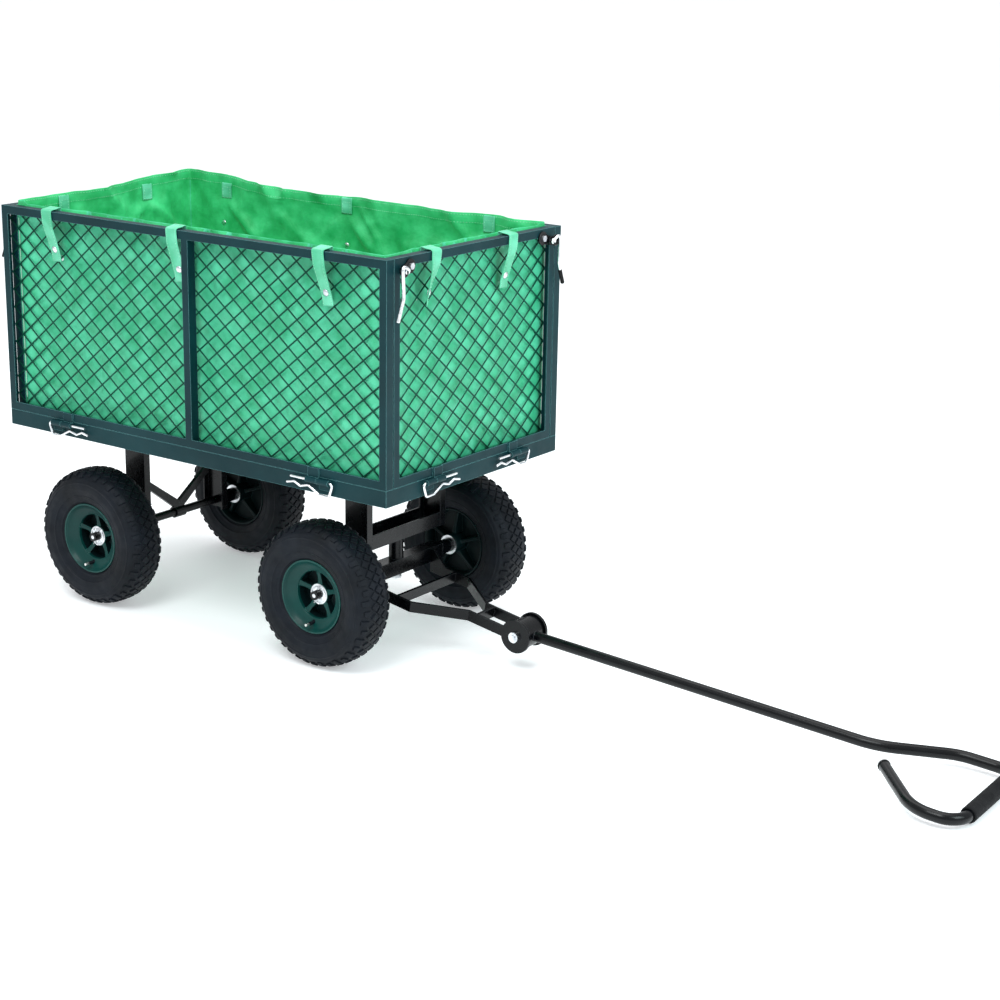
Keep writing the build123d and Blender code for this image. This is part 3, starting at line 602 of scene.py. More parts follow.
def stitch(start, end, out):
    """One thread stitch: a small spindle lying on the cloth."""
    start, end = Vector(start), Vector(end)
    side = (end - start).cross(out).normalized() * STITCH_W / 2
    middle = (start + end) / 2
    up = out.normalized() * STITCH_H
    points = [
        start - 0.2 * up, middle + side, middle - side, end - 0.2 * up, middle + up,
        start.lerp(middle, 0.5) + 0.8 * up, end.lerp(middle, 0.5) + 0.8 * up,
    ]
    return points, STITCH_FACES


def stitch_row(line_at, count):
    """Stitches along a line: line_at(0..1) gives a point and the way out of the cloth."""
    parts = []
    for k in range(count):
        start, out = line_at(k / count)
        end, _ = line_at((k + STITCH_SHARE) / count)
        parts.append(stitch(start, end, out))
    return parts


HEM_EDGE = 0.0035        # from the hem's edges to its two rows of stitches


def make_hem():
    """A folded tape over the liner's rim, all the way round, and its stitching."""
    height = LINER_HIGH.z - LINER_LOW.z
    low = 1 - HEM_H / height
    middle = 0.5 * (low + 1)
    # share of the wall's height and distance inwards, from the inner foot over to the outer
    section = (
        (low, 0.0003), (low, 0.0006), (middle, 0.0010), (0.997, 0.0009), (1.0012, 0.0),
        (0.997, -0.0006), (middle, -0.0007), (low, -0.0006), (low, -0.0002),
    )
    count = round(LOOP_LENGTH / LINER_STEP)
    points = []
    for share, inwards in section:
        points += [wall_point(LOOP_LENGTH * k / count, share, inwards)[0] for k in range(count)]
    shape = points, rings_to_faces(count, len(section), joined=True)
    hem = mesh_piece("liner_hem", shape, "liner_inside", "liner")
    hem.data.set_sharp_from_angle(angle=math.radians(38))
    rows = []
    for below in (HEM_EDGE, HEM_H - HEM_EDGE):
        share = 1 - below / height

        def inside(t, share=share):
            point, normal = wall_point(t * LOOP_LENGTH, share, 0.0012)
            return point, -normal

        rows += stitch_row(inside, round(LOOP_LENGTH / 0.0052))
    sewn = mesh_piece("liner_hem_stitching", merge(rows), "thread", "liner")
    return hem, sewn


PIPING_R = 0.00095
SEAM_R = 0.0013
SEAM_STEPS = 39


def make_seams():
    """The folded seam up the inside of each corner, and the piping up the outside."""
    parts = []
    for quarter, (sx, sy) in enumerate(CORNERS):
        t = LOOP_LENGTHS[(CORNER_STEPS + 1) * quarter + CORNER_STEPS // 2]
        shares = [0.012 + 0.93 * level / SEAM_STEPS for level in range(SEAM_STEPS + 1)]
        parts.append(tube([wall_point(t, share, 0.0016)[0] for share in shares], SEAM_R, 8))
        corner_x = BED_MIDDLE.x + sx * ((LINER_HIGH.x - LINER_LOW.x) / 2 + 0.0004)
        corner_y = BED_MIDDLE.y + sy * ((LINER_HIGH.y - LINER_LOW.y) / 2 - 0.0004)
        heights = np.linspace(LINER_LOW.z + 0.002, LINER_HIGH.z - 0.004, 24)
        parts.append(tube([Vector((corner_x, corner_y, z)) for z in heights], PIPING_R, 8))
    return mesh_piece("liner_corner_seams", merge(parts), "liner_fabric", "liner")


liner_sheet = make_liner()
liner_hem, hem_stitches = make_hem()
liner_seams = make_seams()
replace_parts(liner_sheet, "liner")
FLOOR_SIZE = (LINER_HIGH.x - LINER_LOW.x, LINER_HIGH.y - LINER_LOW.y)
WALL_H = LINER_HIGH.z - LINER_LOW.z

# ---- straps and press studs -------------------------------------------------------------
STRAP_W = 0.026
STRAP_T = 0.0016
STRAP_STITCH_UP = 0.0011
STUD_FRAME = -9          # the press stud's place among a strap's frames
RIVET_DROP = 0.091       # the stud's back, below the liner's top
# side, place along it, lean of the foot, twist of the foot in degrees, bulge
STRAPS = (
    ("right", -0.333, 0.009, 6, 0.002), ("right", -0.022, 0.009, -8, 0.003),
    ("right", 0.309, 0.011, 8, 0.002), ("left", -0.312, 0.005, -8, 0.002),
    ("left", 0.022, -0.004, 10, 0.003), ("left", 0.330, 0.006, -10, 0.002),
    ("front", -0.117, -0.008, -37, 0.002), ("front", 0.100, -0.009, -6, 0.002),
    ("rear", -0.103, 0.005, -10, 0.002), ("rear", 0.115, -0.005, 12, 0.003),
)


def strap_line(along, lean, twist, bulge):
    """Frames along a strap: (middle, across, out of the cloth)."""
    # share of the lean, out from the side's face, up from the panels' top, share of the twist
    route = (
        (0.0, -0.0240, -0.0250, 0.0), (0.0, -0.0242, -0.0120, 0.0), (0.0, -0.0236, 0.0026, 0.0),
        (0.0, -0.0205, 0.0050, 0.0), (0.0, -0.0110, 0.0034, 0.0), (0.0, -0.0010, 0.0022, 0.0),
        (0.02, 0.0017, -0.0012, 0.0), (0.12, 0.0018, -0.0120, 0.04),
        (0.27, 0.0006 + 0.4 * bulge, -0.0250, 0.25), (0.48, -0.0050 + 0.6 * bulge, -0.0450, 0.6),
        (0.69, -0.0092 + 0.3 * bulge, -0.0640, 0.9), (0.85, -0.0118, -0.0780, 1.0),
        (1.0, -0.0128, -0.0920, 1.0),
    )
    line = smooth_line([(along + lean * a, out, up) for a, out, up, _ in route])
    turns = smooth_line([(turn, 0, 0) for *_, turn in route])
    frames = []
    for i, here in enumerate(line):
        ahead = line[min(i + 1, len(line) - 1)] - line[max(i - 1, 0)]
        ahead.normalize()
        flat = Vector((1, 0, 0))
        flat = (flat - flat.dot(ahead) * ahead).normalized()
        out = flat.cross(ahead)
        turn = math.radians(twist) * turns[i].x
        across = math.cos(turn) * flat + math.sin(turn) * out
        frames.append((here, across, across.cross(ahead).normalized()))
    return frames


def wall_at(side, along, share):
    """The liner's wall behind a place on one side of the bed."""
    quarter = ("left", "rear", "right", "front").index(side)
    corner = LOOP_LENGTHS[(CORNER_STEPS + 1) * quarter + CORNER_STEPS]
    half = FLOOR_SIZE[0 if side in ("left", "right") else 1] / 2
    return wall_point(corner + half - LINER_CORNER + along, share)


def face_vector(side, local):
    """A direction given along, out and up on one side, in the frame's own axes."""
    _, (ax, ay), (ox, oy) = FACE_AT[side]
    return Vector((local.x * ax + local.y * ox, local.x * ay + local.y * oy, local.z))


# (radius, along) profiles of a press stud: its cap, the ring behind it and its back
STUD_CAP = (
    (0.0001, 0.0034), (0.0022, 0.0033), (0.0043, 0.0028), (0.0058, 0.0019),
    (0.0066, 0.0010), (0.0067, 0.0002), (0.0064, -0.0004),
)
STUD_RING = ((0.0001, -0.0026), (0.0058, -0.0026), (0.0062, -0.0018), (0.0060, -0.0006))
STUD_BACK = ((0.0001, 0.0020), (0.0022, 0.0019), (0.0042, 0.0014), (0.0054, 0.0008), (0.0055, -0.0006))


def make_strap(index, side, along, lean, twist, bulge):
    """One strap, its stitching, its press stud and the stud's back."""
    frames = strap_line(along, lean, twist, bulge)
    half_w, half_t = STRAP_W / 2, STRAP_T / 2
    section = [
        (-half_w, 0), (-half_w + 0.0008, half_t), (-half_w + 0.003, half_t * 1.25),
        (-half_w + 0.0045, half_t * 0.8), (half_w - 0.0045, half_t * 0.8),
        (half_w - 0.003, half_t * 1.25), (half_w - 0.0008, half_t), (half_w, 0),
        (half_w - 0.0008, -half_t), (-half_w + 0.0008, -half_t),
    ]
    points = []
    for number, (here, across, out) in enumerate(frames):
        point = on_face(side, here.x, here.y, PANEL_TOP + here.z)
        cup = 0.0008 * math.sin(0.9 * number + index)
        for u, v in section:
            sag = cup * (1 - (u / half_w) ** 2)
            points.append(point + face_vector(side, u * across + (v + sag) * out))
    counts = len(section), len(frames)
    shape = points, rings_to_faces(*counts) + end_caps(*counts)
    strap = mesh_piece(f"strap_{index}", shape, "strap_fabric", "liner")

    rows = []

    def place(t, u):
        spot = t * (len(frames) - 1)
        low = min(int(spot), len(frames) - 2)
        share = spot - low
        (p, a, o), (q, b, r) = frames[low], frames[low + 1]
        here, across, out = p.lerp(q, share), a.lerp(b, share), o.lerp(r, share)
        local = here + u * across + STRAP_STITCH_UP * out
        return on_face(side, local.x, local.y, PANEL_TOP + local.z), face_vector(side, out)

    # stitching round and across the inner end, where the strap is sewn to the hem
    box = 0.0090
    for u in (-box, box):
        rows += stitch_row(lambda t, u=u: place(0.01 + 0.12 * t, u), 4)
    for t0 in (0.01, 0.13, 0.27):
        rows += stitch_row(lambda t, t0=t0: place(t0, -box + 2 * box * t), 4)
    # stitching down both edges of the outer half
    edge = half_w - 0.0032
    for u in (-edge, edge):
        rows += stitch_row(lambda t, u=u: place(0.46 + 0.53 * t, u), 22)
    sewn = mesh_piece(f"strap_{index}_stitching", merge(rows), "thread", "liner")

    here, _, out = frames[STUD_FRAME]
    centre = on_face(side, here.x, here.y, PANEL_TOP + here.z)
    axis = face_vector(side, out)
    shape = merge([lathe(STUD_CAP, centre, axis, 28), lathe(STUD_RING, centre, axis, 24)])
    stud = mesh_piece(f"strap_{index}_stud", shape, "zinc", "liner")

    # the press stud's back, on the liner's inside
    wall, normal = wall_at(side, here.x, 1 - RIVET_DROP / WALL_H)
    shape = lathe(STUD_BACK, wall - 0.0006 * normal, -normal, 24)
    back = mesh_piece(f"strap_{index}_stud_back", shape, "zinc", "liner")
    return strap, sewn, stud, back


strap_pieces = {side: [] for side in FACE_AT}
for index, (side, along, lean, twist, bulge) in enumerate(STRAPS):
    pieces = make_strap(index, side, along, lean, twist, bulge)
    strap_pieces[side].append(pieces)
first = strap_pieces["right"][0]
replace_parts(first[0], "liner_straps")
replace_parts(first[2], "strap_studs")

# Each strap, its stitching and its stud get a mesh of their own.
for side, sets in strap_pieces.items():
    _, _, (ox, oy) = FACE_AT[side]
    for pieces in sets:
        for piece in pieces[:3]:
            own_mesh(piece)

# ---- tyres ------------------------------------------------------------------------------
CROWN = (
    (0.1300, 0.0), (0.1298, 0.009), (0.1290, 0.017), (0.1278, 0.023), (0.1260, 0.028), (0.1230, 0.0325),
    (0.1190, 0.0360), (0.1120, 0.0396), (0.1030, 0.0419), (0.0950, 0.0425), (0.0860, 0.0412),
    (0.0760, 0.0365), (0.0700, 0.0330), (0.0670, 0.0310),
)
TYRE_R = 0.130
TREAD_DEPTH = 0.0026
TREAD_END = 0.042
TREAD_COUNT = 42
TREAD_TAPER = 0.0009
# a block's rings: how far in its sides have come, of the taper, and their height
TREAD_FOOT = ((0.0, -TREAD_DEPTH - 0.0006), (0.35, -0.0007))
TREAD_TOP = (1.0, 0.0)
# radius, width and height of each raised ring on the side of a tyre
SIDE_RINGS = ((0.1075, 0.0013, 0.0011), (0.0835, 0.0011, 0.0012), (0.0715, 0.0014, 0.0014))
TYRE_INSIDE = (
    (0.067, 0.022), (0.094, 0.035), (0.117, 0.015), (0.117, -0.015), (0.094, -0.035), (0.067, -0.022),
)
TYRE_SEGMENTS = 144
CROWN_T = np.cumsum([0] + [math.dist(a, b) for a, b in zip(CROWN, CROWN[1:])])


def crown_at(length):
    return [float(np.interp(length, CROWN_T, [p[k] for p in CROWN])) for k in (0, 1)]


def crown(t):
    """Radius and offset at surface length t from the tyre's middle, and the outward normal."""
    side = 1 if t >= 0 else -1
    radius, offset = crown_at(abs(t))
    step = 0.002
    ahead = crown_at(abs(t) + step)
    behind = crown_at(max(abs(t) - step, 0))
    dr, dy = ahead[0] - behind[0], ahead[1] - behind[1]
    size = math.hypot(dr, dy)
    return radius, side * offset, dy / size, -side * dr / size


def tyre_point(angle, t, height):
    radius, offset, nr, ny = crown(t)
    return (
        (radius + height * nr) * math.cos(angle),
        offset + height * ny,
        (radius + height * nr) * math.sin(angle),
    )


def tread_block(corners, across, along=2):
    """A rubber block on the tyre: four (arc length, t) corners, with chamfered sides."""
    middle = [sum(c[k] for c in corners) / 4 for k in (0, 1)]
    grid = []
    for i in range(across + 1):
        for j in range(along + 1):
            a, b = i / across, j / along
            arc, t = (
                (1 - a) * (1 - b) * corners[0][k] + a * (1 - b) * corners[1][k]
                + a * b * corners[2][k] + (1 - a) * b * corners[3][k]
                for k in (0, 1)
            )
            grid.append((arc, t))
    points, faces = [], []
    width = along + 1
    edge = [(i, 0) for i in range(across)]
    edge += [(across, j) for j in range(along)]
    edge += [(across - i, along) for i in range(across)]
    edge += [(0, along - j) for j in range(along)]

    def placed(i, j, inset, height):
        arc, t = grid[i * width + j]
        shift = [middle[k] - (arc, t)[k] for k in (0, 1)]
        size = math.hypot(*shift) or 1.0
        arc += inset * TREAD_TAPER * shift[0] / size
        t += inset * TREAD_TAPER * shift[1] / size
        return tyre_point(arc / TYRE_R, t, height)

    for inset, height in TREAD_FOOT:
        points += [placed(i, j, inset, height) for i, j in edge]
    start = len(points)
    for i in range(across + 1):
        points += [placed(i, j, *TREAD_TOP) for j in range(width)]
    count = len(edge)
    for k in range(count):
        m = (k + 1) % count
        faces.append((k, m, count + m, count + k))
        top_k = start + edge[k][0] * width + edge[k][1]
        top_m = start + edge[m][0] * width + edge[m][1]
        faces.append((count + k, count + m, top_m, top_k))
    for i in range(across):
        for j in range(along):
            corner = start + i * width + j
            faces.append((corner, corner + width, corner + width + 1, corner + 1))
    return points, faces


def tyre_mesh():
    """One tyre about the Y axis: carcass with sidewall rings, and its tread blocks."""
    profile = []
    ts = np.concatenate([np.linspace(0, TREAD_END, 14), np.linspace(TREAD_END, CROWN_T[-1], 34)[1:]])
    for t in ts:
        bare = clamp((TREAD_END + 0.003 - t) / 0.006)
        radius = crown(t)[0]
        ring = sum(rise * math.exp(-(((radius - at) / wide) ** 2)) for at, wide, rise in SIDE_RINGS)
        profile.append((t, -TREAD_DEPTH * bare + ring))
    line = [(-t, height) for t, height in profile[::-1][:-1]] + profile
    turns = [math.tau * k / TYRE_SEGMENTS for k in range(TYRE_SEGMENTS)]
    points = [tyre_point(turn, t, height) for t, height in line for turn in turns]
    for radius, offset in TYRE_INSIDE:
        points += [(radius * math.cos(turn), offset, radius * math.sin(turn)) for turn in turns]
    parts = [(points, rings_to_faces(TYRE_SEGMENTS, len(line) + len(TYRE_INSIDE), joined=True))]
    pitch = math.tau * TYRE_R / TREAD_COUNT
    for k in range(TREAD_COUNT):
        arc = k * pitch
        half = 0.42 * pitch
        parts.append(tread_block(((arc - half, 0), (arc, 0.0095), (arc + half, 0), (arc, -0.0095)), 2))
        for side in (-1, 1):
            at = arc + pitch / 2
            low, high = side * 0.0035, side * 0.0215
            middle_t = side * 0.0125
            corners = ((at - half, middle_t), (at, high), (at + half, middle_t), (at, low))
            parts.append(tread_block(corners[::side], 2))
            inner_t, outer_t = side * 0.0245, side * (TREAD_END - (0.001 if k % 2 else 0.006))
            wide = 0.30 * pitch
            corners = (
                (arc - wide, inner_t), (arc - 0.8 * wide, outer_t),
                (arc + 0.8 * wide, outer_t), (arc + wide, inner_t),
            )
            parts.append(tread_block(corners[::side], 4))
    return merge(parts)


# each wheel and which side of the cart it is on
WHEELS = {"front_right": -1, "front_left": 1, "rear_right": -1, "rear_left": 1}
tyre_points, tyre_faces = tyre_mesh()
for index, name in enumerate(WHEELS):
    centre = box_middle(f"{name}_tyre")
    turn = Matrix.Translation(centre) @ Matrix.Rotation(0.35 + 1.3 * index, 4, "Y")
    shape = [turn @ Vector(p) for p in tyre_points], tyre_faces
    tyre = mesh_piece(f"{name}_tyre_rubber", shape, "tyre", f"wheel_{name}")
    tyre.data.set_sharp_from_angle(angle=math.radians(32))
    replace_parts(tyre, f"{name}_tyre")

# ---- rims -------------------------------------------------------------------------------
BARREL = (
    (0.0665, 0.0318), (0.0660, 0.0328), (0.0640, 0.0328), (0.0625, 0.0312), (0.0607, 0.0265),
    (0.0597, 0.0200), (0.0590, 0.0060), (0.0590, -0.0060), (0.0597, -0.0200), (0.0607, -0.0265),
    (0.0625, -0.0312), (0.0640, -0.0328), (0.0660, -0.0328), (0.0665, -0.0318), (0.0660, -0.0292),
    (0.0632, -0.0262), (0.0632, 0.0262), (0.0660, 0.0292),
)
DISH = (
    (0.0622, 0.0304), (0.0600, 0.0266), (0.0530, 0.0224), (0.0456, 0.0192), (0.0432, 0.0172),
    (0.0424, 0.0120), (0.0424, -0.0056), (0.0440, -0.0056), (0.0440, 0.0110), (0.0450, 0.0150),
    (0.0530, 0.0194), (0.0604, 0.0236),
)
WEB = (
    (0.0598, -0.0050), (0.0460, -0.0062), (0.0300, -0.0062), (0.0185, -0.0035),
    (0.0185, -0.0115), (0.0300, -0.0090), (0.0598, -0.0092),
)
HUB = (
    (0.0188, -0.0460), (0.0194, -0.0452), (0.0194, 0.0092),
    (0.0188, 0.0100), (0.0162, 0.0100), (0.0162, -0.0460),
)
FLANGE_RING = (
    (0.0086, 0.0), (0.0172, 0.0), (0.0182, 0.0003), (0.0184, 0.0008),
    (0.0150, 0.0014), (0.0130, 0.0010), (0.0086, 0.0010),
)
FLANGE_OUTER = 0.0101    # the bearings' flanges, out and in from the wheel's middle
FLANGE_INNER = 0.0461
RIB_COUNT = 5
RIB_START = 0.0188       # radius at which the ribs leave the hub
RIM_RINGS = ((BARREL, 112), (DISH, 96), (WEB, 80), (HUB, 56))
INNER_SIDE = 0.0040       # parts of the rim further in than this get painted shade, a darker copy of the rim paint


def rib(turn, foot, hub_top, rim_top, reach, wide):
    """A tapered web rib from the hub out to a radius, standing on the web."""
    rings = 7
    points = []
    for ring in range(rings):
        share = ring / (rings - 1)
        radius = RIB_START + share * (reach - RIB_START)
        half = wide + 0.0016 * abs(2 * share - 1) ** 2
        sag = 0.16 * (hub_top + rim_top - 2 * foot) * share * (1 - share)
        top = hub_top + (rim_top - hub_top) * share - sag
        lift = 0.0010 if top > foot else -0.0010
        for across, out in (
            (-half, foot), (-0.82 * half, top - lift), (-0.5 * half, top),
            (0.5 * half, top), (0.82 * half, top - lift), (half, foot),
        ):
            x = radius * math.cos(turn) - across * math.sin(turn)
            z = radius * math.sin(turn) + across * math.cos(turn)
            points.append((x, out, z))
    return points, rings_to_faces(6, rings) + end_caps(6, rings)


def rim_mesh():
    """One rim about the Y axis, outer side towards +Y: barrel, dish, web, hub and ribs."""
    parts = [lathe(p, (0, 0, 0), (0, 1, 0), n, closed=True) for p, n in RIM_RINGS]
    for k in range(RIB_COUNT):
        turn = math.radians(90) + math.tau * k / RIB_COUNT
        parts.append(rib(turn, -0.0064, 0.0085, 0.0150, 0.0428, 0.0048))
        parts.append(rib(turn, -0.0088, -0.0330, -0.0210, 0.0596, 0.0034))
    return merge(parts)


def fixed_normals(made):
    """Turns every face of a closed piece outwards, and keeps its sharp edges sharp."""
    shape = bmesh.new()
    shape.from_mesh(made.data)
    bmesh.ops.recalc_face_normals(shape, faces=shape.faces)
    shape.to_mesh(made.data)
    shape.free()
    made.data.set_sharp_from_angle(angle=math.radians(34))


VALVE_AHEAD = -0.0040
VALVE_OUT = 0.0175
VALVE_OFF = 0.0500       # above the axle on the left wheels, below it on the right ones
VALVE_STEM = (
    (0.0001, 0.0), (0.0044, 0.0), (0.0046, 0.0020), (0.0032, 0.0042),
    (0.0030, 0.0150), (0.0024, 0.0160), (0.0001, 0.0160),
)
VALVE_CAP = (
    (0.0001, 0.0158), (0.0027, 0.0158), (0.0029, 0.0166),
    (0.0029, 0.0230), (0.0022, 0.0244), (0.0001, 0.0246),
)
VALVE_PARTS = (("stem", VALVE_STEM, "tyre", "tyre"), ("cap", VALVE_CAP, "valve_cap", "zinc"))
rim_points, rim_faces = rim_mesh()
for name, hand in WHEELS.items():
    centre = box_middle(f"{name}_tyre")
    turn = Matrix.Rotation(0.0 if hand > 0 else math.pi, 4, "Z")
    shape = [centre + turn @ Vector(p) for p in rim_points], rim_faces
    rim = mesh_piece(f"{name}_rim_pressing", shape, "rim_paint", f"wheel_{name}")
    fixed_normals(rim)
    rim.data.materials.append(MATERIALS["rim_painted_shade"])
    # the rim's inner faces take the darker copy of its paint: painted shade
    for polygon in rim.data.polygons:
        if (polygon.center.y - centre.y) * hand < INNER_SIDE:
            polygon.material_index = 1
    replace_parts(rim, f"{name}_rim")
    flanges = []
    for way, off in ((hand, FLANGE_OUTER), (-hand, FLANGE_INNER)):
        at = (centre.x, centre.y + way * off, centre.z)
        flanges.append(lathe(FLANGE_RING, at, (0, way, 0), 48, closed=True))
    ring = mesh_piece(f"{name}_bearing_flanges", merge(flanges), "bearing_steel", f"wheel_{name}")
    fixed_normals(ring)
    foot = Vector(
        (centre.x + VALVE_AHEAD, centre.y + hand * VALVE_OUT, centre.z + hand * VALVE_OFF)
    )
    for label, profile, finish, slot in VALVE_PARTS:
        shape = lathe(profile, foot, (0, hand, 0), 20)
        fixed_normals(mesh_piece(f"{name}_valve_{label}", shape, finish, f"wheel_{name}"))

# ---- foam grip --------------------------------------------------------------------------
GRIP_R = 0.013
GRIP_END = ((0.0097, 0.0800), (0.0118, 0.0800), (0.0128, 0.0790), (0.0131, 0.0770))
GRIP_AXIS = Vector((8.0 / 230.0, -1, 0)).normalized()
profile = [(radius, -along) for radius, along in GRIP_END]
profile += [(GRIP_R + 0.0001 * math.sin(9 * k), -0.0740 + 0.0148 * k) for k in range(11)]
profile += GRIP_END[::-1]
shape = lathe(profile, box_middle("handle_grip"), GRIP_AXIS, 48, closed=True)
grip = mesh_piece("handle_grip_foam", shape, "foam", "handle")
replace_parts(grip, "handle_grip")

# ---- tow handle: bent tube and hub ------------------------------------------------------
TUBE_R = 0.0095
HITCH = Vector((0.065, 0, 0.063))
HUB_R = 0.026
HUB_BORE = 0.00506
HUB_HALF = 0.023
GRIP_BELOW = 0.048       # the grip's middle below the hitch, and ahead of it
GRIP_AHEAD = 0.893
HANDLE_DROP = math.atan2(GRIP_BELOW, GRIP_AHEAD)
GRIP_REACH = math.hypot(GRIP_BELOW, GRIP_AHEAD)
# route of the tube's middle line ahead of the hitch and to the left, and each bend's radius
HANDLE_ROUTE = (
    (0.022, 0.0, 0.0), (GRIP_REACH - 0.212, 0.0, 0.130), (GRIP_REACH - 0.098, 0.062, 0.085),
    (GRIP_REACH - 0.004, 0.062, 0.033), (GRIP_REACH + 0.004, -0.168, 0.033),
    (GRIP_REACH - 0.060, -0.168, 0.070), (GRIP_REACH - 0.088, -0.150, 0.090),
    (GRIP_REACH - 0.168, -0.062, 0.0),
)


BEND_STEPS = 12


def bent_line(route):
    """A flat polyline with an arc of its own radius at each corner."""
    corners = [(Vector((u, v)), radius) for u, v, radius in route]
    line = [corners[0][0]]
    for (before, _), (here, radius), (after, _) in zip(corners, corners[1:], corners[2:]):
        into, away = (here - before).normalized(), (after - here).normalized()
        turn = into.angle(away)
        reach = radius * math.tan(turn / 2)
        side = 1 if into.x * away.y - into.y * away.x > 0 else -1
        start = here - reach * into
        centre = start + side * radius * Vector((-into.y, into.x))
        for step in range(BEND_STEPS + 1):
            share = side * turn * step / BEND_STEPS
            arm = start - centre
            c, s = math.cos(share), math.sin(share)
            line.append(centre + Vector((arm.x * c - arm.y * s, arm.x * s + arm.y * c)))
    return line + [corners[-1][0]]


along = Vector((math.cos(HANDLE_DROP), 0, -math.sin(HANDLE_DROP)))
handle_line = [HITCH + point.x * along + Vector((0, point.y, 0)) for point in bent_line(HANDLE_ROUTE)]
hub_profile = [
    (HUB_BORE, -HUB_HALF), (HUB_R - 0.0006, -HUB_HALF), (HUB_R, -HUB_HALF + 0.0006),
    (HUB_R, HUB_HALF - 0.0006), (HUB_R - 0.0006, HUB_HALF), (HUB_BORE, HUB_HALF),
]
hub = lathe(hub_profile, HITCH, (0, 1, 0), 56, closed=True)
shape = merge([tube(handle_line, TUBE_R, 32, end_round=False), hub])
handle_tube = mesh_piece("tow_handle_tube", shape, "black_paint", "handle")
fixed_normals(handle_tube)
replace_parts(handle_tube, "tow_handle")

# ---- latch levers, their eye rings and their sleeves ------------------------------------
LEVER_R = 0.0026
NEAR_LEVER_R = 0.0032
EYE_OUT = 0.206
EYE_UP = -0.021          # lever's eye from the top of the panels
LEVER_REACH = 0.0145
SLEEVE_L = 0.026
SLEEVE = (
    (0.0001, 0.0012), (0.0026, 0.0012), (0.0034, 0.0003), (0.0036, -0.0020),
    (0.0036, -SLEEVE_L + 0.001), (0.0033, -SLEEVE_L), (0.0026, -SLEEVE_L),
)
COIL_R = 0.0045          # the turn of wire at the lever's upper end
RING_R = 0.0078          # the black ring that holds it
RING_WIRE_R = 0.0025
RING_OFF = 0.0085
RING_OUT = 0.0108
RING_TURNS = [math.tau * k / 12 for k in range(12)]
RING = [(RING_R + RING_WIRE_R * math.cos(a), RING_WIRE_R * math.sin(a)) for a in RING_TURNS]
# away from the eye along the side, up from it and out from the side's face
LEVER_ROUTE = (
    (0.0, 0.0, 0.0006), (0.0, 0.0, 0.0095), (0.0035, 0.0035, 0.0138), (0.0110, 0.0072, LEVER_REACH),
    (0.0165, 0.0058, LEVER_REACH), (0.0172, -0.0030, LEVER_REACH), (0.0164, -0.0160, LEVER_REACH),
    (0.0152, -0.0340, LEVER_REACH), (0.0158, -0.0440, LEVER_REACH), (0.0200, -0.0550, LEVER_REACH),
    (0.0245, -0.0670, LEVER_REACH), (0.0288, -0.0780, LEVER_REACH),
)
for side in ("front", "rear"):
    for end, sign in (("a", -1), ("b", 1)):
        near = (side, end) == ("front", "a")
        name, body = f"{side}_latch_lever_{end}", f"lever_{side}_{end}"

        def at_eye(away, out, up, side=side, sign=sign):
            return on_face(side, sign * (EYE_OUT + away), out, PANEL_TOP + EYE_UP + up)

        line = smooth_line([at_eye(away, out, up) for away, up, out in LEVER_ROUTE])
        coil = [
            at_eye(
                0.0020 + COIL_R * math.cos(turn),
                0.0118 + 0.0012 * math.sin(turn),
                COIL_R * math.sin(turn),
            )
            for turn in np.linspace(2.6, 6.2, 12)
        ]
        wire = tube(line, NEAR_LEVER_R if near else LEVER_R, 16)
        shape = merge([wire, tube(coil, LEVER_R * 0.8, 12)])
        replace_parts(mesh_piece(f"{name}_wire", shape, "zinc_wire", body), name)
        _, _, (ox, oy) = FACE_AT[side]
        shape = lathe(RING, at_eye(RING_OFF, RING_OUT, 0.0), (ox, oy, 0), 32, closed=True)
        mesh_piece(f"{name}_eye", shape, "black_paint", body)
        if not near:
            tip, back = line[-1], line[-2]
            shape = lathe(SLEEVE, tip, (tip - back).normalized(), 24)
            mesh_piece(f"{name}_sleeve", shape, "cap_plastic", body)

# ---- axle ends: washers and split pins --------------------------------------------------
BORE_R = 0.0081          # of the washers, on the 16 mm axle
WASHER = (
    (BORE_R, 0), (0.0146, 0), (0.0150, 0.0004), (0.0150, 0.0017), (0.0146, 0.0020), (BORE_R, 0.0020),
)
WASHER_Y = 0.2143
TIP = ((0.0036, -0.0002), (0.0036, 0.0002), (0.0030, 0.0004), (0.0001, 0.0004))
TIP_Y = max(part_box("rear_axle")[1][1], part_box("front_stub_axles")[1][1])
PIN_Y = 0.222
PIN_EYE_R = 0.0034
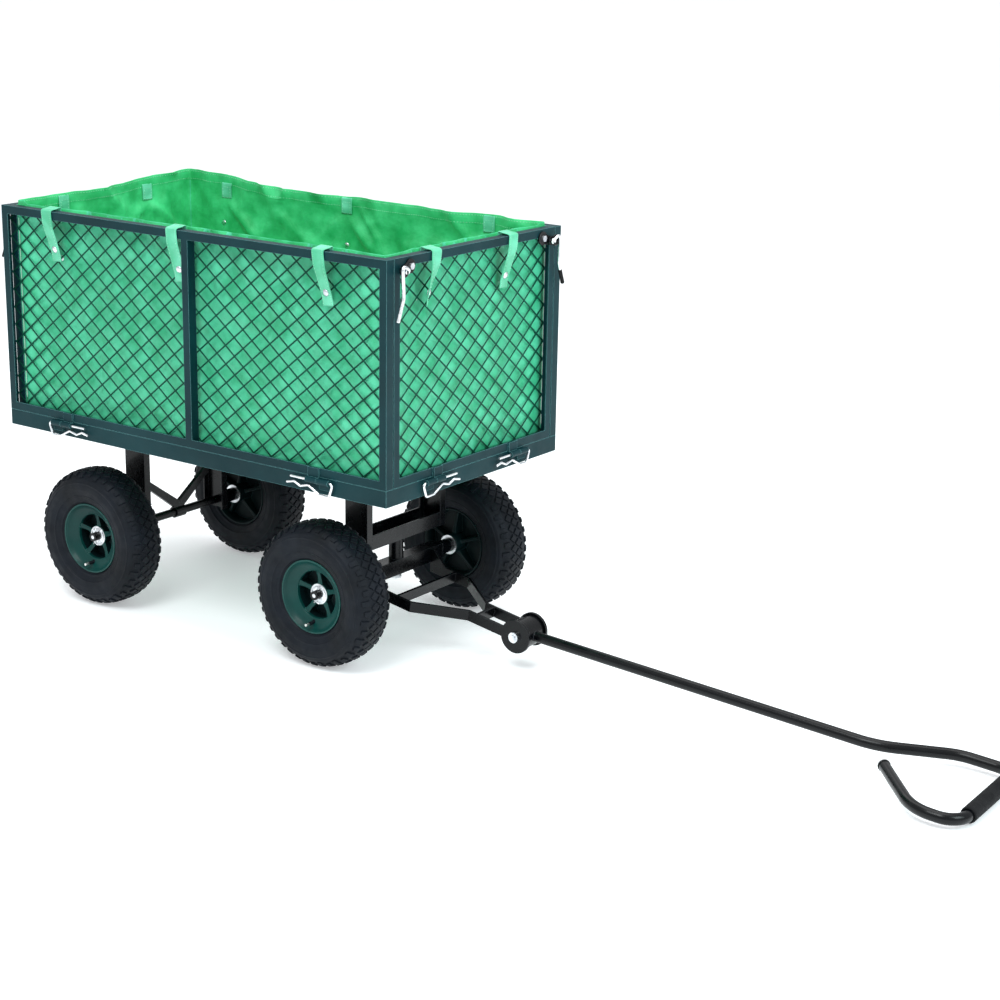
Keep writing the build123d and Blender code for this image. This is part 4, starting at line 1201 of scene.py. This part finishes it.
# which way each leg of a split pin goes, how far down, and how far its end is bent
PIN_LEGS = ((1, 0.0148, 0.0062), (-1, 0.0142, 0.0030))
for axle, body in (("front", "steering"), ("rear", "chassis")):
    middle = box_middle(f"{axle}_axle_fasteners")
    parts = []
    for hand in (-1, 1):
        out = (0, hand, 0)
        parts.append(lathe(WASHER, (middle.x, hand * WASHER_Y, middle.z), out, 40, closed=True))
        parts.append(lathe(TIP, (middle.x, hand * TIP_Y, middle.z), out, 24))
        pin_y = hand * PIN_Y
        eye = [
            Vector(
                (middle.x + PIN_EYE_R * math.sin(a), pin_y, middle.z + 0.0126 - PIN_EYE_R * math.cos(a))
            )
            for a in np.linspace(0.25, math.tau - 0.25, 14)
        ]
        for sign, length, kick in PIN_LEGS:
            leg = [
                (middle.x + sign * 0.0008, pin_y, middle.z + 0.0095),
                (middle.x + sign * 0.0008, pin_y, middle.z - 0.0085),
                (middle.x + sign * 0.0016, pin_y, middle.z - 0.0108),
                (middle.x + sign * kick, pin_y + hand * 0.001, middle.z - length),
            ]
            parts.append(tube(smooth_line(leg), 0.0008, 8))
        parts.append(tube(eye, 0.0009, 8))
    made = mesh_piece(f"{axle}_axle_washers_and_pins", merge(parts), "zinc", body)
    made.data.set_sharp_from_angle(angle=math.radians(40))
    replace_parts(made, f"{axle}_axle_fasteners")

# ---- floor ------------------------------------------------------------------------------
floor_finish = Finish("floor", rough=0.6, specular=0.2)
floor_finish.shader.inputs["Emission Color"].default_value = (0.97, 0.985, 1.0, 1)
floor_finish.shader.inputs["Emission Strength"].default_value = 0.34
floor_finish.colour(
    floor_finish.ramp(floor_finish.noise(0.8), (0.86, 0.87, 0.88, 1), (0.89, 0.9, 0.91, 1))
)
floor_mesh = bpy.data.meshes.new("floor")
FLOOR = [(-60, -60, 0), (60, -60, 0), (60, 60, 0), (-60, 60, 0)]
floor_mesh.from_pydata(FLOOR, [], [(0, 1, 2, 3)])
floor_mesh.materials.append(floor_finish.made)
add_to_scene("floor", floor_mesh)
